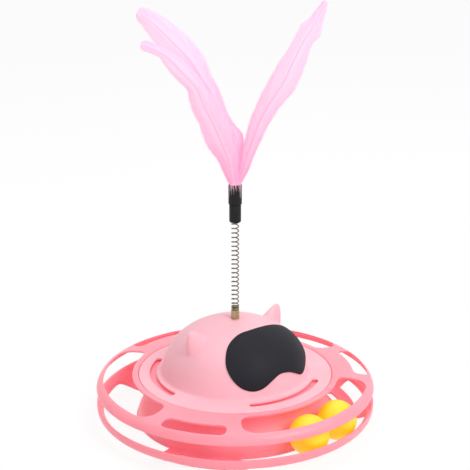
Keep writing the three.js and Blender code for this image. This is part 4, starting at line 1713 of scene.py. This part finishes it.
@dataclass(frozen=True)
class Plume:
    """A bunch of dyed down: a soft folded body, the barbs that fray it and its quill.

    Attributes:
        name: the piece's name.
        edges: across and up of both edges of its outline, from the quill to the tip.
        depth: place along Y of the quill's end and of the tip.
        seed: seed of its random barbs.
        stands_for: the CAD node that it is shown instead of.
        folds: number of folds side by side.
        bulge: half thickness in the middle.
        rings: rings of the body along its length.
        columns: columns of each of its two sides.
        barb_pairs: barbs on each side of the quill.
        quill_bottom: foot of the quill, in the sleeve.
    """

    name: str
    edges: tuple[tuple[float, float, float, float], ...]
    depth: Flat
    seed: int
    stands_for: str
    folds: float = 2.5
    bulge: float = 2.6
    rings: int = 76
    columns: int = 16
    barb_pairs: int = 330
    quill_bottom: float = 207.0

    def outline(self, share: float) -> tuple[float, ...]:
        """Gives both edges at a share of the length, smooth between their points.

        Args:
            share: place along the length.

        Returns:
            Across and up of the left edge, then of the right one.
        """
        last = len(self.edges) - 1
        at = min(max(share, 0.0), 0.99999) * last
        number, rest = int(at), at - int(at)
        p0, p1, p2, p3 = (self.edges[min(max(number + step, 0), last)] for step in (-1, 0, 1, 2))
        return tuple(0.5 * (2 * b + (c - a) * rest + (2 * a - 5 * b + 4 * c - d) * rest ** 2
                            + (3 * b - 3 * c + d - a) * rest ** 3)
                     for a, b, c, d in zip(p0, p1, p2, p3, strict=True))

    def fold(self, across: float, share: float) -> float:
        """Gives the height of the folds: long waves that run out towards the tip.

        Args:
            across: place across.
            share: place along the length.

        Returns:
            The height.
        """
        wave = math.sin(2 * math.pi * (self.folds * across + 0.9 * share) + self.seed)
        fine = math.sin(2 * math.pi * (2.7 * self.folds * across - 1.3 * share) + 2 * self.seed)
        return (0.55 * wave + 0.25 * fine) * min(1.0, share * 5)

    def spot(self, across: float, share: float, lift: float = 0.0, front: bool = True) -> Vector:
        """Gives a place on the body.

        Args:
            across: 0 is the edge towards -X and 1 the other edge.
            share: place along the length, from the quill to the tip.
            lift: distance outward from the body.
            front: whether the place is on the side that the photograph shows.

        Returns:
            The point.
        """
        left_x, left_z, right_x, right_z = self.outline(share)
        # Full in the middle, thin at both edges, at the quill and at the tip
        swell = math.sin(math.pi * min(max(across, 0.0), 1.0)) ** 0.8
        swell *= min(1.0, 0.35 + 4 * share) * min(1.0, 0.3 + 5 * (1 - share))
        middle = self.depth[0] + (self.depth[1] - self.depth[0]) * share
        middle += 1.5 * math.sin(5 * share + self.seed) * share
        if front:
            out = -swell * (self.bulge + self.fold(across, share)) - lift
        else:
            out = swell * (self.bulge - 0.8 * self.fold(1 - across, share)) + lift
        return Vector((left_x + (right_x - left_x) * across, middle + out,
                       left_z + (right_z - left_z) * across))

    def body(self) -> Piece:
        """Models the closed soft body, ring by ring from the quill.

        Returns:
            The body.
        """
        rng = random.Random(self.seed)
        rings, marks = [], []
        half = self.columns
        fray = [(rng.uniform(-0.03, 0.02), rng.uniform(-0.02, 0.03))
                for _ in range(self.rings + 1)]
        for number in range(self.rings + 1):
            share = number / self.rings
            low, high = 0.035 + fray[number][0], 0.965 + fray[number][1]
            ring = []
            for k in range(2 * half):
                along = k / half if k <= half else 2 - k / half
                across = low + (high - low) * (0.5 - 0.5 * math.cos(math.pi * along))
                ring.append(self.spot(across, share, 0.15, k <= half))
                marks.append(swept(across, share))
            rings.append(ring)
        piece = Bench.loops(rings)
        mark(piece, marks)
        Bench.edit(piece, lambda place: False)
        bpy.ops.mesh.select_non_manifold()
        bpy.ops.mesh.fill_holes(sides=0)
        bpy.ops.mesh.select_all(action="SELECT")
        bpy.ops.mesh.normals_make_consistent(inside=False)
        Bench.leave()
        Bench.smooth(piece, 1)
        return piece

    def barbs(self) -> Piece:
        """Models the barbs: long ones on the body and short wisps past its edges.

        Returns:
            The barbs.
        """
        rng = random.Random(self.seed + 100)
        skein = Skein()
        for side in (-1, 1):
            for number in range(self.barb_pairs):
                start = 0.01 + 0.96 * (number + rng.random()) / self.barb_pairs
                wisp = number % 2 == 1
                root = rng.uniform(0.6, 0.85) if wisp else rng.uniform(0.02, 0.5)
                reach = rng.uniform(1.0, 1.1) if wisp else rng.uniform(0.8, 1.03)
                run = rng.uniform(0.05, 0.1) if wisp else rng.uniform(0.1, 0.17)
                lift = rng.uniform(0.1, 0.45)
                front = rng.random() < 0.7
                places = []
                for out in spaced(root, reach, 5):
                    share = min(1.0, start + run * ((out - root) / (reach - root)) ** 1.4)
                    places.append((0.5 + side * out / 2, share))
                skein.add([self.spot(*place, lift, front) for place in places],
                          [swept(*place) for place in places], rng.uniform(0.07, 0.17))
        return skein.build(self.name + "_barbs")

    def spill(self) -> Piece:
        """Models the few pale barbs that hang over the top of the sleeve.

        Returns:
            The barbs.
        """
        rng = random.Random(self.seed + 200)
        skein = Skein()
        for _ in range(16):
            # Out of the sleeve's mouth, over its edge and down its outside
            turn, bottom = rng.uniform(-155, -25), rng.uniform(206, 214.5)
            drift = rng.uniform(-14, 14)
            line = [polar(3.6, turn, 219.5), polar(5.2, turn, 218.0),
                    polar(6.15, turn + 0.3 * drift, 216.6),
                    polar(6.2, turn + 0.7 * drift, (216.6 + bottom) / 2),
                    polar(6.3, turn + drift, bottom)]
            skein.add(line, [(0.5, 0.95)] * len(line), rng.uniform(0.16, 0.26))
        return skein.build(self.name + "_barbs")

    def quill(self) -> Piece:
        """Models the quill: out of the sleeve's pocket, then as a ridge up the front.

        Returns:
            The quill.
        """
        line = []
        for share in spaced(0.0, 0.93, 48):
            front, back = self.spot(0.5, share, 0.12, True), self.spot(0.5, share, 0.0, False)
            line.append(front.lerp(back, max(0.0, 0.5 - 4 * share)))
        foot = line[0].copy()
        foot.z = self.quill_bottom
        line.insert(0, foot)
        piece = tube(line, [0.85 * (1 - 0.8 * k / (len(line) - 1)) for k in range(len(line))], 8)
        mark(piece, [(0.5, 0.0)] * len(piece.data.vertices))
        return piece

    def build(self, material: Material) -> None:
        """Models the whole plume.

        Args:
            material: its finish.
        """
        parts = [self.body(), self.barbs(), self.quill()]
        if self.depth[0] < 0:
            parts.append(self.spill())
        Bench.finish(Bench.join(parts), self.name, Body.WAND, Slot.FEATHER, material,
                     [self.stands_for], 60)


@dataclass(frozen=True)
class Studio:
    """The floor, the light and the camera.

    Attributes:
        distance: from the camera to the point that it aims at, metres.
        pitch: how far the camera looks down, degrees.
        aim: height that it aims at, metres.
        lens: focal length, millimetres on a 36 mm sensor.
        shift: sideways shift of the lens.
        surround: strength of the surroundings' light on the toy.
        floor_share: share of the floor's look that glows; the rest takes shadows.
        floor_glow: strength of that glow.
        lamp_aim: height that the lamps face, metres.
    """

    distance: float = 1.0
    pitch: float = 17.1
    aim: float = 0.1714
    lens: float = 87.9
    shift: float = -0.0003
    surround: float = 0.58
    floor_share: float = 0.86
    floor_glow: float = 1.04
    lamp_aim: float = 0.08

    def camera(self) -> None:
        """Sets up the camera."""
        data = bpy.data.cameras.new("camera")
        data.lens, data.sensor_width, data.shift_x = self.lens, 36.0, self.shift
        data.clip_start, data.clip_end = 0.01, 50.0
        camera = Bench.place("camera", data)
        pitch = math.radians(self.pitch)
        camera.location = (0, -self.distance * math.cos(pitch),
                           self.aim + self.distance * math.sin(pitch))
        camera.rotation_euler = (math.radians(90) - pitch, 0, 0)
        bpy.context.scene.camera = camera

    def lamp(self, name: str, at: Sequence[float], size: float, power: float) -> None:
        """Adds a soft square lamp that faces the toy.

        Args:
            name: the lamp's name.
            at: its place, metres.
            size: its side, metres.
            power: its power, watts.
        """
        data = bpy.data.lights.new(name, "AREA")
        data.size, data.energy = size, power
        lamp = Bench.place(name, data)
        lamp.location = at
        aim = Vector((0, 0, self.lamp_aim)) - Vector(at)
        lamp.rotation_euler = aim.to_track_quat("-Z", "Y").to_euler()

    def world(self) -> None:
        """Sets up the pale surroundings."""
        world = bpy.data.worlds.new("surroundings")
        bpy.context.scene.world = world
        world.use_nodes = True
        glow = world.node_tree.nodes["Background"]
        glow.inputs["Color"].default_value = (1, 1, 1, 1)
        tree = Tree(world.node_tree)
        level = tree.add("ShaderNodeMapRange", To_Min=self.surround, To_Max=1.0)
        tree.link(tree.seen(), level.inputs["Value"])
        tree.link(level.outputs["Result"], glow.inputs["Strength"])

    def floor(self) -> None:
        """Lays a pale floor that keeps the toy's soft shadow."""
        Bench.clear()
        bpy.ops.mesh.primitive_plane_add(size=16)
        floor = bpy.context.object
        floor.name = "studio_floor"
        nodes = Nodes("pale_floor")
        nodes.set(Base_Color=(0.78, 0.78, 0.78, 1), Roughness=0.9, Specular_IOR_Level=0.1)
        part = nodes.add("ShaderNodeMath", operation="MULTIPLY")
        part.inputs[1].default_value = self.floor_share
        nodes.link(nodes.seen(), part.inputs[0])
        glow = nodes.add("ShaderNodeEmission", Strength=self.floor_glow)
        nodes.link(part.outputs["Value"], nodes.mix(glow.outputs["Emission"]))
        floor.data.materials.append(nodes.material)

    def build(self) -> None:
        """Builds the studio."""
        bpy.context.scene.view_settings.view_transform = "Standard"
        self.camera()
        self.world()
        self.floor()
        self.lamp("key", (1.35, -1.15, 1.7), 1.1, 24.5)
        self.lamp("fill", (-0.3, -1.7, 0.8), 1.2, 2.6)
        self.lamp("top", (0.0, 0.5, 1.8), 1.4, 8.5)


class Finishes:
    """Every finish of the toy, each made once."""

    def __init__(self) -> None:
        """Makes the materials."""
        # The track, the dome and the balls get a painted glow, of strength through, that lifts
        # their shade.
        self.track = MouldedPlastic("track_plastic", (250, 156, 170), 0.36, 0.01, 0.45,
                                    (6.0, 1.6, 1.6), through=0.15).build()
        self.dome = MouldedPlastic("dome_plastic", (251, 190, 201), 0.5, 0.02, 0.25,
                                   through=0.04).build()
        self.ball = MouldedPlastic("ball_plastic", (248, 209, 40), 0.42, 0.02, 0.3,
                                   (4.0, 2.4, 0.4), (255, 200, 25), 0.3).build()
        self.nylon = MouldedPlastic("nylon", (240, 238, 230), 0.5).build()
        self.patch = SoftCoat("soft_charcoal", (17, 17, 27), 0.62, 0.02).build()
        self.pad = SoftCoat("pad_rubber", (200, 120, 130), 0.8).build()
        self.sleeve = SoftCoat("sleeve_rubber", (20, 19, 22), 0.5, 0.02).build()
        self.brass = BareMetal("socket_brass", (186, 165, 127), 0.32).build()
        self.steel = BareMetal("screw_steel", (190, 188, 182), 0.3).build()
        self.spring = BareMetal("spring_steel", (128, 114, 98), 0.28, 0.3).build()
        self.feather = Plumage("feather_dye", (255, 201, 228), (255, 220, 235),
                               (255, 232, 243)).build()


def dress_small_parts(finishes: Finishes) -> None:
    """Gives the small CAD parts that stay as they are their finishes.

    Args:
        finishes: the toy's finishes.
    """
    def three(stem: str) -> list[str]:
        """Gives the names of three like parts."""
        return [f"{stem}_{number}" for number in (1, 2, 3)]

    dressed = {
        finishes.pad: three("foot_pad"),
        finishes.nylon: ("axle_bush",),
        finishes.brass: ("wand_nut",),
        finishes.track: ("turntable_plate",),
        finishes.steel: (*three("track_screw"), *three("dome_screw"), "axle_washer",
                         "axle_screw"),
    }
    for material, names in dressed.items():
        for name in names:
            slots = frame["nodes"][name].data.materials
            slots.clear()
            slots.append(material)
            LOG.info("%s: dressed", name)


PLUMES = (
    Plume("feather_plume_upper",
          ((-2.2, 214.5, 3.0, 214.5), (-3, 217.5, 4.6, 217.5), (-6, 238.5, 6.5, 240),
           (-9.5, 255.5, 7, 259), (-14.5, 268.5, -0.5, 269), (-21, 281.5, -6.5, 279.5),
           (-28.5, 294.5, -13.5, 299), (-38, 307.5, -20, 311), (-47.5, 318.5, -24, 322.5),
           (-57, 327, -30.5, 333), (-66, 335, -41, 345), (-72, 343, -55.5, 356.5),
           (-77.5, 351, -68, 363.5), (-81.5, 355.5, -75.5, 366), (-82.5, 360, -79.5, 365.5)),
          (2.0, 8.0), 3, "feather_left_upper"),
    Plume("feather_plume_lower",
          ((-3.2, 214.5, 2.0, 214.5), (-5.5, 218.5, 3, 218.5), (-9.5, 226.5, 3.5, 230),
           (-14.5, 238, 3.5, 244.5), (-23, 249.5, 0.5, 259), (-27, 258, -3.5, 270),
           (-30, 268.5, -9, 279), (-35.5, 280, -14.5, 288.5), (-38.5, 290, -19, 296),
           (-40, 299.5, -24, 302.5), (-45.5, 305.5, -30, 311.5), (-52.5, 313, -37.5, 319.5),
           (-59, 321.5, -44.5, 326.5), (-62, 327, -55, 333.5), (-70, 331, -64.5, 338.5),
           (-76, 333, -73, 341.5), (-78, 336.5, -77, 340)),
          (-2.6, -10.0), 7, "feather_left_lower"),
    Plume("feather_plume_right",
          ((0.4, 214.5, 3.6, 214.5), (0.5, 218, 5.3, 218), (3, 231.5, 12, 231),
           (5, 245, 17, 244.5), (9, 260, 23, 257.5), (12.5, 274.5, 27.5, 267.5),
           (19, 289.5, 36, 282), (22.5, 298, 43.5, 290.5), (29.5, 311, 52.5, 304),
           (35.5, 322, 58.5, 319.5), (42.5, 331.5, 62, 332.5), (49, 344, 65, 339),
           (54, 354.5, 70.5, 344.5), (60, 358.5, 71.5, 353.5), (65.5, 365.5, 74, 363),
           (70.5, 372, 75, 369), (72.5, 374, 75, 372)),
          (0.5, -8.0), 11, "feather_right", 2.2),
)


def main() -> None:
    """Builds the toy in order, from the floor up, and reports each piece."""
    logging.basicConfig(level=logging.INFO, format="%(name)s %(message)s")
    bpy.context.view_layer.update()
    Studio().build()
    finishes = Finishes()
    dress_small_parts(finishes)
    track = BallTrack()
    track.lower(finishes.track)
    track.upper(finishes.track)
    dome = CatDome()
    dome.build(finishes.dome)
    CoatPatch(dome).build(finishes.patch)
    for number, azimuth, tilt in ((1, -31.4, (35.0, 20.0)), (2, -52.8, (-50.0, 60.0))):
        TrackBall(number, azimuth, tilt, track.path, track.ball_height).build(finishes.ball)
    wand = FeatherWand(dome.crown)
    wand.socket(finishes.brass)
    wand.spring(finishes.spring)
    wand.sleeves(finishes.sleeve)
    for plume in PLUMES:
        plume.build(finishes.feather)
    Bench.clear()


if __name__ == "__main__":
    main()
